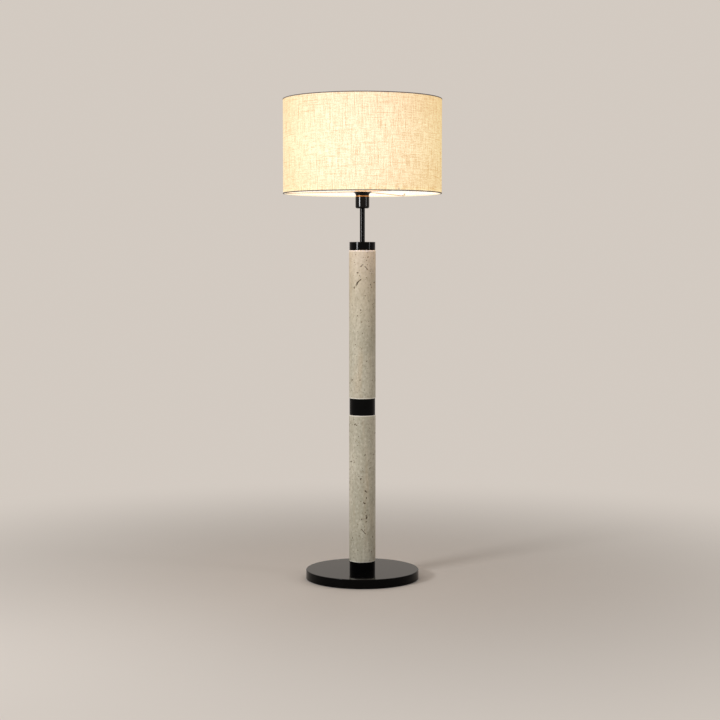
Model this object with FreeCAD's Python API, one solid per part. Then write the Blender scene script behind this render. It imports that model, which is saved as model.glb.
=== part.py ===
"""Column floor lamp: two stone tubes between black collars on a weighted base, under a fabric drum shade.

Millimetres, +Z up. The origin is on the floor, in the middle of the base. The cable inlet is at the back, +Y.
Each piece is its own solid. The threads that carry the pieces are left plain, or shown as rings.
"""

import FreeCAD
import Part
import math
import os
from FreeCAD import Vector

# ---- Driving dimensions --------------------------------------------------------------------------
# Clearances
fit_gap = 0.1  # radial, between fixed pieces that fit one in the other
running_gap = 0.05  # radial, between a piece and the one that turns in it
thread_gap = 0.3  # radial, between two pieces of a thread that turns

# Base
foot_height = 3.0
foot_radius = 12.0
foot_count = 6
foot_inset = 30.0  # from the base's edge to the middle of a foot
skirt_gap = 1.5  # floor to the lower edge of the base cover
base_radius = 180.0
base_top = 30.0
cover_wall = 1.5
cover_edge_radius = 2.5
plate_thickness = 2.0
plate_screw_inset = 35.0  # from the base's edge to the middle of a screw
plate_screw_count = 3
weight_gap = 8.5  # between the weight and the cover's wall
weight_web = 8.0
weight_rim = 50.0  # width of the thick rim round the recess
channel_half_width = 13.0
channel_clearance = 2.0  # over the inlet's body

# Screws of the bottom plate
plate_screw_radius = 2.0
plate_screw_length = 12.0
plate_screw_head_radius = 4.0
plate_screw_head_height = 2.0
screw_slot = 1.0

# Cable inlet, on the back of the base
inlet_height = 14.5
inlet_bore_radius = 3.5
inlet_body_radius = 6.0
inlet_body_length = 16.0
inlet_flange_bevel = 1.5
inlet_flange_radius = 9.0
inlet_flange_thickness = 2.5
inlet_nut_across_flats = 17.0
inlet_nut_thickness = 4.0

# Terminal block, under the base
block_width = 18.0
block_depth = 22.0
block_height = 12.0
block_front = 50.0
block_screw_radius = 1.8
wire_strip = 4.0  # how far a wire reaches into the block
wire_lead = 12.0  # straight length beside the block, and beside the rod

# Hollow threaded rods and their nuts
rod_radius = 5.0
rod_bore_radius = 3.5
rod_below_nut = 0.5
nut_across_flats = 14.0
nut_thickness = 5.0
base_nut_thickness = 4.5
coupling_length = 30.0
washer_radius = 18.0
washer_thickness = 2.0
lock_washer_radius = 8.5
lock_washer_thickness = 1.5
lock_washer_split = 1.2

# Column
collar_radius = 41.0
collar_height = 26.0
collar_wall = 4.0
collar_web = 6.0
collar_edge = 0.4
spigot_radius = 14.5
spigot_height = 8.0
spigot_edge = 1.0
gasket_thickness = 0.5
gasket_radius = 40.0
stone_radius = 42.0
stone_bore_radius = 15.0
stone_length = 468.5
stone_edge = 1.2
lid_thickness = 3.0
lid_ledge = 1.0

# Stem
stem_radius = 8.0
stem_length = 105.5
stem_bore_radius = 6.2
stem_thread_length = 20.0
stem_thread_spare = 2.0  # left beyond the end of a rod
stem_edge = 0.5
nipple_reach = 12.5  # how far the nipple stands up inside the lampholder's cup
nipple_sunk = 15.0  # how far it is screwed into the stem

# Lampholder
cup_radius = 22.0
cup_height = 37.0
cup_wall = 2.0
cup_corner = 6.0
cup_edge = 0.5
core_ledge = 1.5  # step in the cup's wall that carries the core
band_height = 3.0
band_radius = 21.4
sleeve_wall = 3.25
sleeve_sunk = 7.5  # how far the sleeve reaches down into the cup
sleeve_above_ring = 1.4
sleeve_thread_depth = 0.4
ring_pitch = 2.0
core_height = 9.0
shell_wall = 0.55
shell_height = 26.0
contact_thickness = 0.5
contact_width = 5.0
contact_tail = 11.0  # from the axis to the tail's end
contact_pad_half = 3.0
terminal_offset = 11.5
terminal_side = 5.0
terminal_height = 5.0
terminal_screw_radius = 1.2
wire_radius = 1.0
wire_offset = 1.4
wire_clearance = 0.5  # above the nipple's end
bend_share = 0.3  # of the shorter run, taken by each bend of a wire

# Flared flange under the shade, and the ring that clamps the shade
flange_height = 12.0
flange_foot_radius = 21.4
flange_rim_radius = 29.3
flange_rim_thickness = 1.2
flange_waist_radius = 23.2
flange_waist_share = 0.58  # of the flange's height
gallery_overhang = 0.4  # past the flange's rim
gallery_thickness = 1.5
clamp_washer_thickness = 0.6
clamp_ring_radius = 23.0
clamp_ring_height = 4.0
clamp_ring_lip = 0.8  # wall of the lip that keeps the washer on the ring
clamp_ring_edge = 0.6
clamp_ring_grips = 24
clamp_ring_grip_radius = 0.7

# Shade
shade_radius = 250.0
shade_height = 296.0
shade_drop = 6.0  # from the gallery's underside down to the lower edge of the shade
fabric_thickness = 1.0
liner_thickness = 0.5
hoop_wire_radius = 1.5
hoop_inset = 2.6  # from the shade's edge to the middle of the hoop
trim_thickness = 0.6
trim_height = 3.0
seam_width = 14.0
seam_thickness = 0.4
seam_edge_gap = 0.4  # to the trim at either end
arm_wire_radius = 1.6
arm_bearings = (56.0, 176.0, 296.0)  # degrees from +X towards +Y
clip_width = 6.0
clip_height = 6.0
clip_length = 10.0
clip_thickness = 1.0

# Bulb
bulb_thread_radius = 13.1
bulb_thread_depth = 0.8
bulb_thread_pitch = 3.629
bulb_thread_turns = 5
bulb_cap_length = 27.0
bulb_cap_wall = 1.0
bulb_collar_height = 3.4
bulb_insulator_height = 3.0
bulb_tip_radius = 4.8
bulb_tip_height = 1.5
bulb_seat_gap = 0.5
housing_foot_radius = 14.0
housing_height = 38.0
housing_wall = 2.0
housing_waist = 1.2  # how far its side draws in
globe_radius = 30.0
globe_wall = 1.2
globe_middle = 53.0  # from the housing's foot up to the middle of the globe
board_thickness = 1.6
board_sunk = 0.4
board_gap = 1.2
led_count = 10
led_circle = 14.0
led_side = 3.0
led_height = 0.8

# ---- Heights that follow, from the floor up ------------------------------------------------------

plate_top = foot_height + plate_thickness
cover_underside = base_top - cover_wall
recess_ceiling = cover_underside - weight_web
channel_ceiling = inlet_height + inlet_body_radius + channel_clearance
base_nut_head = recess_ceiling - washer_thickness - lock_washer_thickness
base_nut_foot = base_nut_head - base_nut_thickness
rod_foot = base_nut_foot - rod_below_nut
block_foot = recess_ceiling - block_height
block_wire_height = recess_ceiling - block_height / 2
under_rod = (plate_top + rod_foot) / 2 - fit_gap  # where the wires turn below the lower rod
column_foot = base_top
lower_stone_foot = column_foot + collar_height + gasket_thickness
lower_stone_head = lower_stone_foot + stone_length
column_joint = lower_stone_head + gasket_thickness + collar_height
upper_stone_foot = column_joint + collar_height + gasket_thickness
upper_stone_head = upper_stone_foot + stone_length
column_head = upper_stone_head + gasket_thickness + collar_height
holder_foot = column_head + stem_length
cup_top = holder_foot + cup_height
flange_foot = cup_top + band_height
gallery_foot = flange_foot + flange_height
gallery_top = gallery_foot + gallery_thickness
clamp_ring_foot = gallery_top + clamp_washer_thickness
clamp_ring_head = clamp_ring_foot + clamp_ring_height
nipple_top = holder_foot + nipple_reach
sleeve_foot = cup_top - sleeve_sunk
sleeve_top = clamp_ring_head + sleeve_above_ring
core_top = sleeve_foot
core_foot = core_top - core_height
terminal_foot = core_foot - terminal_height
shade_foot = gallery_foot - shade_drop
shade_top = shade_foot + shade_height
arm_end_height = shade_foot + hoop_inset - 2 * fit_gap
bulb_foot = sleeve_top + bulb_seat_gap

# ---- Radii that follow ---------------------------------------------------------------------------
foot_circle = base_radius - foot_inset
plate_screw_circle = base_radius - plate_screw_inset
weight_radius = base_radius - cover_wall - weight_gap
recess_radius = weight_radius - weight_rim
rod_hole_radius = rod_radius + fit_gap
cup_bore_radius = cup_radius - cup_wall
core_radius = cup_bore_radius - fit_gap
sleeve_radius = cup_bore_radius - fit_gap
sleeve_bore_radius = sleeve_radius - sleeve_wall
ring_bore_radius = sleeve_radius + thread_gap
shell_bore_radius = bulb_thread_radius + thread_gap
gallery_radius = flange_rim_radius + gallery_overhang
liner_radius = shade_radius - fabric_thickness - fit_gap
hoop_radius = liner_radius - liner_thickness - fit_gap - hoop_wire_radius
collar_bore_radius = collar_radius - collar_wall

AXIS = Vector(0, 0, 1)
ORIGIN = Vector(0, 0, 0)


# ---- Ways to make a solid 

def cylinder(radius, foot, head, x=0.0, y=0.0):
    """An upright cylinder between two heights."""
    return Part.makeCylinder(radius, head - foot, Vector(x, y, foot))


def tube(radius, bore_radius, foot, head):
    """An upright tube on the lamp's axis."""
    return cylinder(radius, foot, head).cut(cylinder(bore_radius, foot, head))


def turned(section):
    """A solid turned about the lamp's axis. A step of section is a (radius, height) point, or a pair of such
    points: the middle and the end of an arc."""

    def place(point):
        return Vector(point[0], 0, point[1])

    edges = []
    here = place(section[0])
    for step in section[1:] + section[:1]:
        if isinstance(step[0], tuple):
            there = place(step[1])
            edges.append(Part.Arc(here, place(step[0]), there).toShape())
        else:
            there = place(step)
            edges.append(Part.LineSegment(here, there).toShape())
        here = there
    return Part.Face(Part.Wire(edges)).revolve(ORIGIN, AXIS, 360)


def on_circle(radius, count, first_bearing=0.0):
    """(x, y) of equally spaced places on a circle."""
    for number in range(count):
        bearing = math.radians(first_bearing + 360.0 * number / count)
        yield radius * math.cos(bearing), radius * math.sin(bearing)


def hex_bar(across_flats, bore_radius, foot, head):
    """A hexagonal nut on the lamp's axis, with a plain bore."""
    corner = across_flats / 2 / math.cos(math.pi / 6)
    corners = [Vector(x, y, foot) for x, y in on_circle(corner, 6)]
    outline = Part.Face(Part.makePolygon(corners + corners[:1]))
    return outline.extrude(Vector(0, 0, head - foot)).cut(cylinder(bore_radius, foot, head))


def box(x_range, y_range, z_range):
    """A box between two places on each axis."""
    (x0, x1), (y0, y1), (z0, z1) = x_range, y_range, z_range
    return Part.makeBox(x1 - x0, y1 - y0, z1 - z0, Vector(x0, y0, z0))


def rounded_route(points):
    """Straight runs joined by tangent arcs, which take a set share of the shorter of their two runs."""
    edges = []
    start = points[0]
    for before, corner, after in zip(points, points[1:], points[2:]):
        back = before - corner
        ahead = after - corner
        tangent = bend_share * min(back.Length, ahead.Length)
        back.normalize()
        ahead.normalize()
        enter = corner + back * tangent
        leave = corner + ahead * tangent
        half = (math.pi - back.getAngle(ahead)) / 2
        radius = tangent / math.tan(half)
        inward = back + ahead
        inward.normalize()
        middle = corner + inward * (radius / math.cos(half) - radius)
        edges.append(Part.LineSegment(start, enter).toShape())
        edges.append(Part.Arc(enter, middle, leave).toShape())
        start = leave
    edges.append(Part.LineSegment(start, points[-1]).toShape())
    return Part.Wire(edges)


def wire_along(points, radius):
    """A round wire along a rounded route."""
    route = rounded_route(points)
    end = Part.Wire(Part.Circle(points[0], points[1] - points[0], radius).toShape())
    return route.makePipeShell([end], True, False)


def save(name, *solids):
    """One STEP file per piece, or per group of like pieces."""
    shape = solids[0] if len(solids) == 1 else Part.makeCompound(list(solids))
    shape.exportStep(os.path.join("parts", name + ".step"))


# ---- Base ----------------------------------------------------------------------------------------

def save_base():
    """Spun steel cover over a cast weight, closed below by a plate on soft feet."""
    feet = [cylinder(foot_radius, 0, foot_height, x, y) for x, y in on_circle(foot_circle, foot_count)]
    save("foot_pads", *feet)

    # The screws go between the feet.
    screw_places = list(on_circle(plate_screw_circle, plate_screw_count, 180.0 / foot_count))
    screw_hole_radius = plate_screw_radius + fit_gap
    screw_tip = foot_height + plate_screw_length

    plate = cylinder(base_radius - cover_wall - fit_gap, foot_height, plate_top)
    for x, y in screw_places:
        plate = plate.cut(cylinder(screw_hole_radius, foot_height, plate_top, x, y))
    save("bottom_plate", plate)

    screws = []
    for x, y in screw_places:
        head_foot = foot_height - plate_screw_head_height
        head = cylinder(plate_screw_head_radius, head_foot, foot_height, x, y)
        shank = cylinder(plate_screw_radius, foot_height, screw_tip, x, y)
        slot = box((x - plate_screw_head_radius, x + plate_screw_head_radius),
                   (y - screw_slot / 2, y + screw_slot / 2),
                   (head_foot, head_foot + plate_screw_head_height / 2))
        screws.append(head.fuse(shank).removeSplitter().cut(slot))
    save("plate_screws", *screws)

    weight = cylinder(weight_radius, plate_top, cover_underside)
    weight = weight.cut(cylinder(recess_radius, plate_top, recess_ceiling))
    weight = weight.cut(cylinder(rod_hole_radius, recess_ceiling, cover_underside))
    channel = box((-channel_half_width, channel_half_width),
                  (recess_radius - weight_web, weight_radius + weight_web),
                  (plate_top, channel_ceiling))
    weight = weight.cut(channel)
    for x, y in screw_places:
        weight = weight.cut(cylinder(screw_hole_radius, plate_top, screw_tip + 1, x, y))
    save("base_weight", weight)

    corner = cover_edge_radius * (1 - math.sqrt(0.5))
    cover = turned([
        (rod_hole_radius, cover_underside),
        (base_radius - cover_wall, cover_underside),
        (base_radius - cover_wall, skirt_gap),
        (base_radius, skirt_gap),
        (base_radius, base_top - cover_edge_radius),
        ((base_radius - corner, base_top - corner), (base_radius - cover_edge_radius, base_top)),
        (rod_hole_radius, base_top),
    ])
    hole_start = Vector(0, base_radius - 2 * cover_wall, inlet_height)
    hole_radius = inlet_body_radius + fit_gap
    inlet_hole = Part.makeCylinder(hole_radius, 4 * cover_wall, hole_start, Vector(0, 1, 0))
    save("base_cover", cover.cut(inlet_hole))


def save_inlet():
    """Flanged bush in the cover's back wall, held by a nut inside."""
    back = Vector(0, 1, 0)
    inner_end = Vector(0, base_radius - inlet_body_length, inlet_height)
    wall = Vector(0, base_radius, inlet_height)
    length = inlet_body_length + inlet_flange_thickness
    face_radius = inlet_flange_radius - inlet_flange_bevel
    body = Part.makeCylinder(inlet_body_radius, inlet_body_length, inner_end, back)
    flange = Part.makeCone(inlet_flange_radius, face_radius, inlet_flange_thickness, wall, back)
    bore = Part.makeCylinder(inlet_bore_radius, length, inner_end, back)
    save("cable_inlet", body.fuse(flange).removeSplitter().cut(bore))

    # The nut's face clears the curved wall at its corners.
    corner = inlet_nut_across_flats / 2 / math.cos(math.pi / 6)
    nut_back = math.sqrt((base_radius - cover_wall) ** 2 - corner ** 2) - fit_gap
    nut = hex_bar(inlet_nut_across_flats, inlet_body_radius + fit_gap, 0, inlet_nut_thickness)
    nut.rotate(ORIGIN, Vector(1, 0, 0), -90)
    nut.translate(Vector(0, nut_back - inlet_nut_thickness, inlet_height))
    save("inlet_nut", nut)


def save_terminal_block():
    """Two-pole block on the weight, where the supply meets the column's two wires."""
    half = block_width / 2
    foot = block_foot
    block = box((-half, half), (block_front, block_front + block_depth), (foot, recess_ceiling))
    screw_rows = (block_front + block_depth / 4, block_front + block_depth * 3 / 4)
    wire_height = block_wire_height
    screws = []
    for x in (-half / 2, half / 2):
        entry = Vector(x, block_front, wire_height)
        block = block.cut(Part.makeCylinder(wire_radius + fit_gap, block_depth, entry, Vector(0, 1, 0)))
        for y in screw_rows:
            screw_top = wire_height - wire_radius - 2 * fit_gap
            block = block.cut(cylinder(block_screw_radius + fit_gap, foot, wire_height, x, y))
            screws.append(cylinder(block_screw_radius, foot, screw_top, x, y))
    save("terminal_block", block)
    save("block_screws", *screws)


# ---- Column --------------------------------------------------------------------------------------

def collar(stone_face, up, lid_rebate=False):
    """A cup with its web and spigot towards the stone. up is 1 where the stone stands on it, and -1 where it
    lies on the stone. A rebate in the open end takes a lid."""

    def height(offset):
        return stone_face + up * offset

    far = -collar_height
    mouth = [(collar_bore_radius, height(far))]
    if lid_rebate:
        rebate_radius = collar_bore_radius + lid_ledge
        ledge = height(far + lid_thickness)
        mouth = [(collar_bore_radius, ledge), (rebate_radius, ledge), (rebate_radius, height(far))]
    return turned([
        (rod_hole_radius, height(-collar_web)),
        (collar_bore_radius, height(-collar_web)),
        *mouth,
        (collar_radius - collar_edge, height(far)),
        (collar_radius, height(far + collar_edge)),
        (collar_radius, height(-collar_edge)),
        (collar_radius - collar_edge, height(0)),
        (spigot_radius, height(0)),
        (spigot_radius, height(spigot_height - spigot_edge)),
        (spigot_radius - spigot_edge, height(spigot_height)),
        (rod_hole_radius, height(spigot_height)),
    ])


def stone(foot):
    """A drilled stone tube with softened edges."""
    head = foot + stone_length
    return turned([
        (stone_bore_radius, foot),
        (stone_radius - stone_edge, foot),
        (stone_radius, foot + stone_edge),
        (stone_radius, head - stone_edge),
        (stone_radius - stone_edge, head),
        (stone_bore_radius, head),
    ])


def save_column():
    """Two sections, each a stone tube between two collars, drawn together by a hollow rod and nuts."""
    save("bottom_collar", collar(lower_stone_foot - gasket_thickness, 1))
    save("lower_stone", stone(lower_stone_foot))
    save("lower_middle_collar", collar(lower_stone_head + gasket_thickness, -1))
    save("upper_middle_collar", collar(upper_stone_foot - gasket_thickness, 1))
    save("upper_stone", stone(upper_stone_foot))
    save("top_collar", collar(upper_stone_head + gasket_thickness, -1, lid_rebate=True))

    gasket_feet = (
        lower_stone_foot - gasket_thickness,
        lower_stone_head,
        upper_stone_foot - gasket_thickness,
        upper_stone_head,
    )
    gaskets = [tube(gasket_radius, stone_bore_radius, foot, foot + gasket_thickness) for foot in gasket_feet]
    save("stone_gaskets", *gaskets)

    lid_radius = collar_bore_radius + lid_ledge - fit_gap
    save("top_lid", tube(lid_radius, rod_hole_radius, column_head - lid_thickness, column_head))


def save_rods():
    """Hollow threaded rods with their nuts and washers. The two rods meet inside the long coupling nut."""
    save("lower_rod", tube(rod_radius, rod_bore_radius, rod_foot, column_joint))
    rod_head = column_head + stem_thread_length - stem_thread_spare
    save("upper_rod", tube(rod_radius, rod_bore_radius, column_joint, rod_head))

    half = coupling_length / 2
    coupling = hex_bar(nut_across_flats, rod_hole_radius, column_joint - half, column_joint + half)
    save("coupling_nut", coupling)

    web_faces = (
        lower_stone_foot - gasket_thickness - collar_web - nut_thickness,
        lower_stone_head + gasket_thickness + collar_web,
        upper_stone_foot - gasket_thickness - collar_web - nut_thickness,
        upper_stone_head + gasket_thickness + collar_web,
    )
    nuts = [hex_bar(nut_across_flats, rod_hole_radius, foot, foot + nut_thickness) for foot in web_faces]
    save("section_nuts", *nuts)

    washer_foot = recess_ceiling - washer_thickness
    lock_foot = washer_foot - lock_washer_thickness
    save("base_washer", tube(washer_radius, rod_hole_radius, washer_foot, recess_ceiling))
    lock_washer = tube(lock_washer_radius, rod_hole_radius, lock_foot, washer_foot)
    half_split = lock_washer_split / 2
    split = box((rod_radius, lock_washer_radius + 1), (-half_split, half_split), (lock_foot, washer_foot))
    save("base_lock_washer", lock_washer.cut(split))
    save("base_nut", hex_bar(nut_across_flats, rod_hole_radius, base_nut_foot, base_nut_head))


# ---- Stem and lampholder -------------------------------------------------------------------------

def save_stem():
    """The stem screws down on the upper rod and carries the lampholder on a nipple."""
    upper_thread = holder_foot - nipple_sunk - stem_thread_spare
    stem = turned([
        (rod_hole_radius, column_head),
        (stem_radius - stem_edge, column_head),
        (stem_radius, column_head + stem_edge),
        (stem_radius, holder_foot - stem_edge),
        (stem_radius - stem_edge, holder_foot),
        (rod_hole_radius, holder_foot),
        (rod_hole_radius, upper_thread),
        (stem_bore_radius, upper_thread),
        (stem_bore_radius, column_head + stem_thread_length),
        (rod_hole_radius, column_head + stem_thread_length),
    ])
    save("stem_tube", stem)
    save("stem_nipple", tube(rod_radius, rod_bore_radius, holder_foot - nipple_sunk, nipple_top))
    nut_foot = holder_foot + cup_wall
    save("holder_nut", hex_bar(nut_across_flats, rod_hole_radius, nut_foot, nut_foot + nut_thickness))


def save_holder_casing():
    """Deep cup, bright band and threaded sleeve."""
    inner_corner = cup_corner - cup_wall
    outer_bow = cup_corner * (1 - math.sqrt(0.5))
    inner_bow = inner_corner * (1 - math.sqrt(0.5))
    floor = holder_foot + cup_wall
    ledge_radius = cup_bore_radius - core_ledge
    cup = turned([
        (rod_hole_radius, holder_foot),
        (cup_radius - cup_corner, holder_foot),
        ((cup_radius - outer_bow, holder_foot + outer_bow), (cup_radius, holder_foot + cup_corner)),
        (cup_radius, cup_top - cup_edge),
        (cup_radius - cup_edge, cup_top),
        (cup_bore_radius, cup_top),
        (cup_bore_radius, core_foot),
        (ledge_radius, core_foot),
        (ledge_radius, floor + inner_corner),
        ((ledge_radius - inner_bow, floor + inner_bow), (ledge_radius - inner_corner, floor)),
        (rod_hole_radius, floor),
    ])
    save("holder_cup", cup)
    save("holder_band", tube(band_radius, sleeve_radius + fit_gap, cup_top, flange_foot))

    # The sleeve's thread is shown as rings, above the gallery.
    root_radius = sleeve_radius - sleeve_thread_depth
    section = [(sleeve_bore_radius, sleeve_foot), (sleeve_radius, sleeve_foot), (sleeve_radius, gallery_top)]
    crest = gallery_top + ring_pitch
    while crest < sleeve_top - ring_pitch / 2:
        section.append((root_radius, crest - ring_pitch / 2))
        section.append((sleeve_radius, crest))
        crest += ring_pitch
    section.append((root_radius, sleeve_top))
    section.append((sleeve_bore_radius, sleeve_top))
    save("holder_sleeve", turned(section))


def save_holder_inside():
    """Ceramic core with the screw shell, the centre contact and the two terminals."""
    save("holder_core", cylinder(core_radius, core_foot, core_top))
    shell_top = core_top + shell_height
    save("screw_shell", tube(shell_bore_radius + shell_wall, shell_bore_radius, core_top, shell_top))

    bulb_tip = bulb_foot - bulb_cap_length
    pad_top = bulb_tip - thread_gap
    pad_foot = pad_top - contact_thickness
    tongue = [
        (-contact_tail, core_top),
        (-2 * contact_pad_half, core_top),
        (-contact_pad_half, pad_foot),
        (contact_pad_half, pad_foot),
        (contact_pad_half, pad_top),
        (-contact_pad_half - contact_thickness / 2, pad_top),
        (-2 * contact_pad_half - contact_thickness / 2, core_top + contact_thickness),
        (-contact_tail, core_top + contact_thickness),
    ]
    outline = [Vector(x, -contact_width / 2, z) for x, z in tongue]
    contact = Part.Face(Part.makePolygon(outline + outline[:1])).extrude(Vector(0, contact_width, 0))
    save("centre_contact", contact)

    terminals = []
    screws = []
    half = terminal_side / 2
    screw_height = terminal_foot + terminal_height / 2
    inward = Vector(0, 1, 0)
    for side in (-1, 1):
        x = side * terminal_offset
        post = box((x - half, x + half), (-half, half), (terminal_foot, core_foot))
        post = post.cut(cylinder(wire_radius + fit_gap, terminal_foot, core_foot, x, 0))
        face = Vector(x, -half, screw_height)
        post = post.cut(Part.makeCylinder(terminal_screw_radius + fit_gap, half, face, inward))
        terminals.append(post)
        screw_end = face - inward * (wire_radius + 2 * fit_gap)
        screws.append(Part.makeCylinder(terminal_screw_radius, half, screw_end, inward))
    save("holder_terminals", *terminals)
    save("terminal_screws", *screws)


def save_wires():
    """One insulated wire each side, from the terminal block up through the rods to the lampholder."""
    over_nipple = nipple_top + wire_clearance + wire_radius
    for name, side in (("live_wire", 1), ("neutral_wire", -1)):
        route = [
            Vector(side * block_width / 4, block_front + wire_strip, block_wire_height),
            Vector(side * block_width / 4, block_front - wire_lead, block_wire_height),
            Vector(side * wire_offset, wire_lead, under_rod),
            Vector(side * wire_offset, 0, under_rod),
            Vector(side * wire_offset, 0, over_nipple),
            Vector(side * terminal_offset, 0, over_nipple),
            Vector(side * terminal_offset, 0, core_foot - fit_gap),
        ]
        save(name, wire_along(route, wire_radius))


def save_shade_clamp():
    """Flared flange under the gallery, and a washer and ring that clamp the gallery from above."""
    rim_underside = gallery_foot - flange_rim_thickness
    waist = (flange_waist_radius, flange_foot + flange_height * flange_waist_share)
    flange = turned([
        (sleeve_radius + fit_gap, flange_foot),
        (flange_foot_radius, flange_foot),
        (waist, (flange_rim_radius, rim_underside)),
        (flange_rim_radius, gallery_foot),
        (sleeve_radius + fit_gap, gallery_foot),
    ])
    save("shade_flange", flange)
    lip_radius = ring_bore_radius + clamp_ring_lip
    washer_radius = clamp_ring_radius - clamp_ring_edge
    save("clamp_washer", tube(washer_radius, lip_radius + running_gap, gallery_top, clamp_ring_foot))

    ring = turned([
        (ring_bore_radius, gallery_top + fit_gap),
        (lip_radius, gallery_top + fit_gap),
        (lip_radius, clamp_ring_foot),
        (clamp_ring_radius, clamp_ring_foot),
        (clamp_ring_radius, clamp_ring_head - clamp_ring_edge),
        (clamp_ring_radius - clamp_ring_edge, clamp_ring_head),
        (ring_bore_radius, clamp_ring_head),
    ])
    for x, y in on_circle(clamp_ring_radius + clamp_ring_grip_radius / 2, clamp_ring_grips):
        ring = ring.cut(cylinder(clamp_ring_grip_radius, clamp_ring_foot, clamp_ring_head, x, y))
    save("clamp_ring", ring)


# ---- Shade ---------------------------------------------------------------------------------------

def hoop(height):
    """A wire hoop inside the shade."""
    return Part.makeTorus(hoop_radius, hoop_wire_radius, Vector(0, 0, height), AXIS)


def trim(edge, up):
    """Tape folded round an edge and its hoop. up is 1 at the lower edge and -1 at the upper one."""

    def height(offset):
        return edge + up * offset

    outside = shade_radius + fit_gap
    inside = hoop_radius - hoop_wire_radius - fit_gap
    tuck = hoop_inset + hoop_wire_radius
    return turned([
        (outside + trim_thickness, height(0)),
        (outside + trim_thickness, height(trim_height)),
        (outside, height(trim_height)),
        (outside, height(trim_thickness)),
        (inside, height(trim_thickness)),
        (inside, height(tuck)),
        (inside - trim_thickness, height(tuck)),
        (inside - trim_thickness, height(0)),
    ])


def save_shade():
    """Fabric on a stiff white liner, on two hoops. Three arms carry the lower hoop from the gallery."""
    foot = shade_foot + trim_thickness + fit_gap
    head = shade_top - trim_thickness - fit_gap
    save("shade_fabric", tube(shade_radius, shade_radius - fabric_thickness, foot, head))
    save("shade_liner", tube(liner_radius, liner_radius - liner_thickness, foot, head))
    lower_trim = trim(shade_foot, 1)
    for bearing in arm_bearings:
        lower_trim = lower_trim.cut(arm(bearing, arm_wire_radius + fit_gap, hoop_radius))
    save("bottom_trim", lower_trim)
    save("top_trim", trim(shade_top, -1))
    save("bottom_hoop", hoop(shade_foot + hoop_inset))
    save("top_hoop", hoop(shade_top - hoop_inset))

    seam_foot = shade_foot + trim_height + seam_edge_gap
    seam_head = shade_top - trim_height - seam_edge_gap
    seam = tube(shade_radius + seam_thickness, shade_radius + fit_gap, seam_foot, seam_head)
    window = box((-seam_width / 2, seam_width / 2), (0, shade_radius + 1), (seam_foot, seam_head))
    save("shade_seam", seam.common(window))

    gallery_bore_radius = ring_bore_radius + thread_gap
    save("gallery_ring", tube(gallery_radius, gallery_bore_radius, gallery_foot, gallery_top))
    arm_reach = hoop_radius - hoop_wire_radius - 2 * fit_gap
    save("spider_arms", *[arm(bearing, arm_wire_radius, arm_reach) for bearing in arm_bearings])
    save("arm_clips", *[clip(bearing) for bearing in arm_bearings])


def arm(bearing, radius, reach):
    """A straight wire from the gallery's edge down towards the lower hoop, as far from the axis as reach. Its
    inner end is cut to fit the gallery. A thicker and longer one makes its passage through the trim."""
    inner = Vector(gallery_radius - gallery_thickness, 0, (gallery_foot + gallery_top) / 2)
    run = Vector(hoop_radius, 0, arm_end_height) - inner
    rod = Part.makeCylinder(radius, run.Length * (reach - inner.x) / run.x, inner, run)
    rod = rod.cut(cylinder(gallery_radius, gallery_foot - 2 * radius, gallery_top + 2 * radius))
    rod.rotate(ORIGIN, AXIS, bearing)
    return rod


def clip(bearing):
    """A bent tab on the arm's outer end, turned up behind the trim against the liner."""
    foot = shade_foot + hoop_inset + hoop_wire_radius + fit_gap
    outer = liner_radius - liner_thickness - thread_gap
    profile = [
        (outer - clip_length, foot),
        (outer, foot),
        (outer, foot + clip_height),
        (outer - clip_thickness, foot + clip_height),
        (outer - clip_thickness, foot + clip_thickness),
        (outer - clip_length, foot + clip_thickness),
    ]
    outline = [Vector(x, -clip_width / 2, z) for x, z in profile]
    tab = Part.Face(Part.makePolygon(outline + outline[:1])).extrude(Vector(0, clip_width, 0))
    tab.rotate(ORIGIN, AXIS, bearing)
    return tab


# ---- Bulb ----------------------------------------------------------------------------------------

def save_bulb_cap():
    """Screw cap with its thread as rounded rings, a glass insulator and the tip contact."""
    cap_foot = bulb_foot - bulb_cap_length + bulb_tip_height + bulb_insulator_height
    collar_foot = bulb_foot - bulb_collar_height
    root_radius = bulb_thread_radius - bulb_thread_depth
    inner_radius = root_radius - bulb_cap_wall
    pitch = min(bulb_thread_pitch, (collar_foot - cap_foot) / bulb_thread_turns)
    section = [(inner_radius, cap_foot), (root_radius, cap_foot)]
    for turn in range(bulb_thread_turns):
        root = cap_foot + turn * pitch
        section.append(((bulb_thread_radius, root + pitch / 2), (root_radius, root + pitch)))
    section.append((root_radius, collar_foot))
    section.append((bulb_thread_radius, collar_foot + bulb_thread_depth))
    section.append((bulb_thread_radius, bulb_foot))
    section.append((inner_radius, bulb_foot))
    save("bulb_shell", turned(section))

    insulator_foot = cap_foot - bulb_insulator_height
    cone = [(0, insulator_foot), (bulb_tip_radius, insulator_foot), (inner_radius, cap_foot), (0, cap_foot)]
    save("bulb_insulator", turned(cone))

    tip_foot = insulator_foot - bulb_tip_height
    half = math.sqrt(0.5)
    shoulder = (bulb_tip_radius * half, insulator_foot - bulb_tip_height * half)
    dome = [(0, tip_foot), (shoulder, (bulb_tip_radius, insulator_foot)), (0, insulator_foot)]
    save("bulb_tip", turned(dome))


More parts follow.
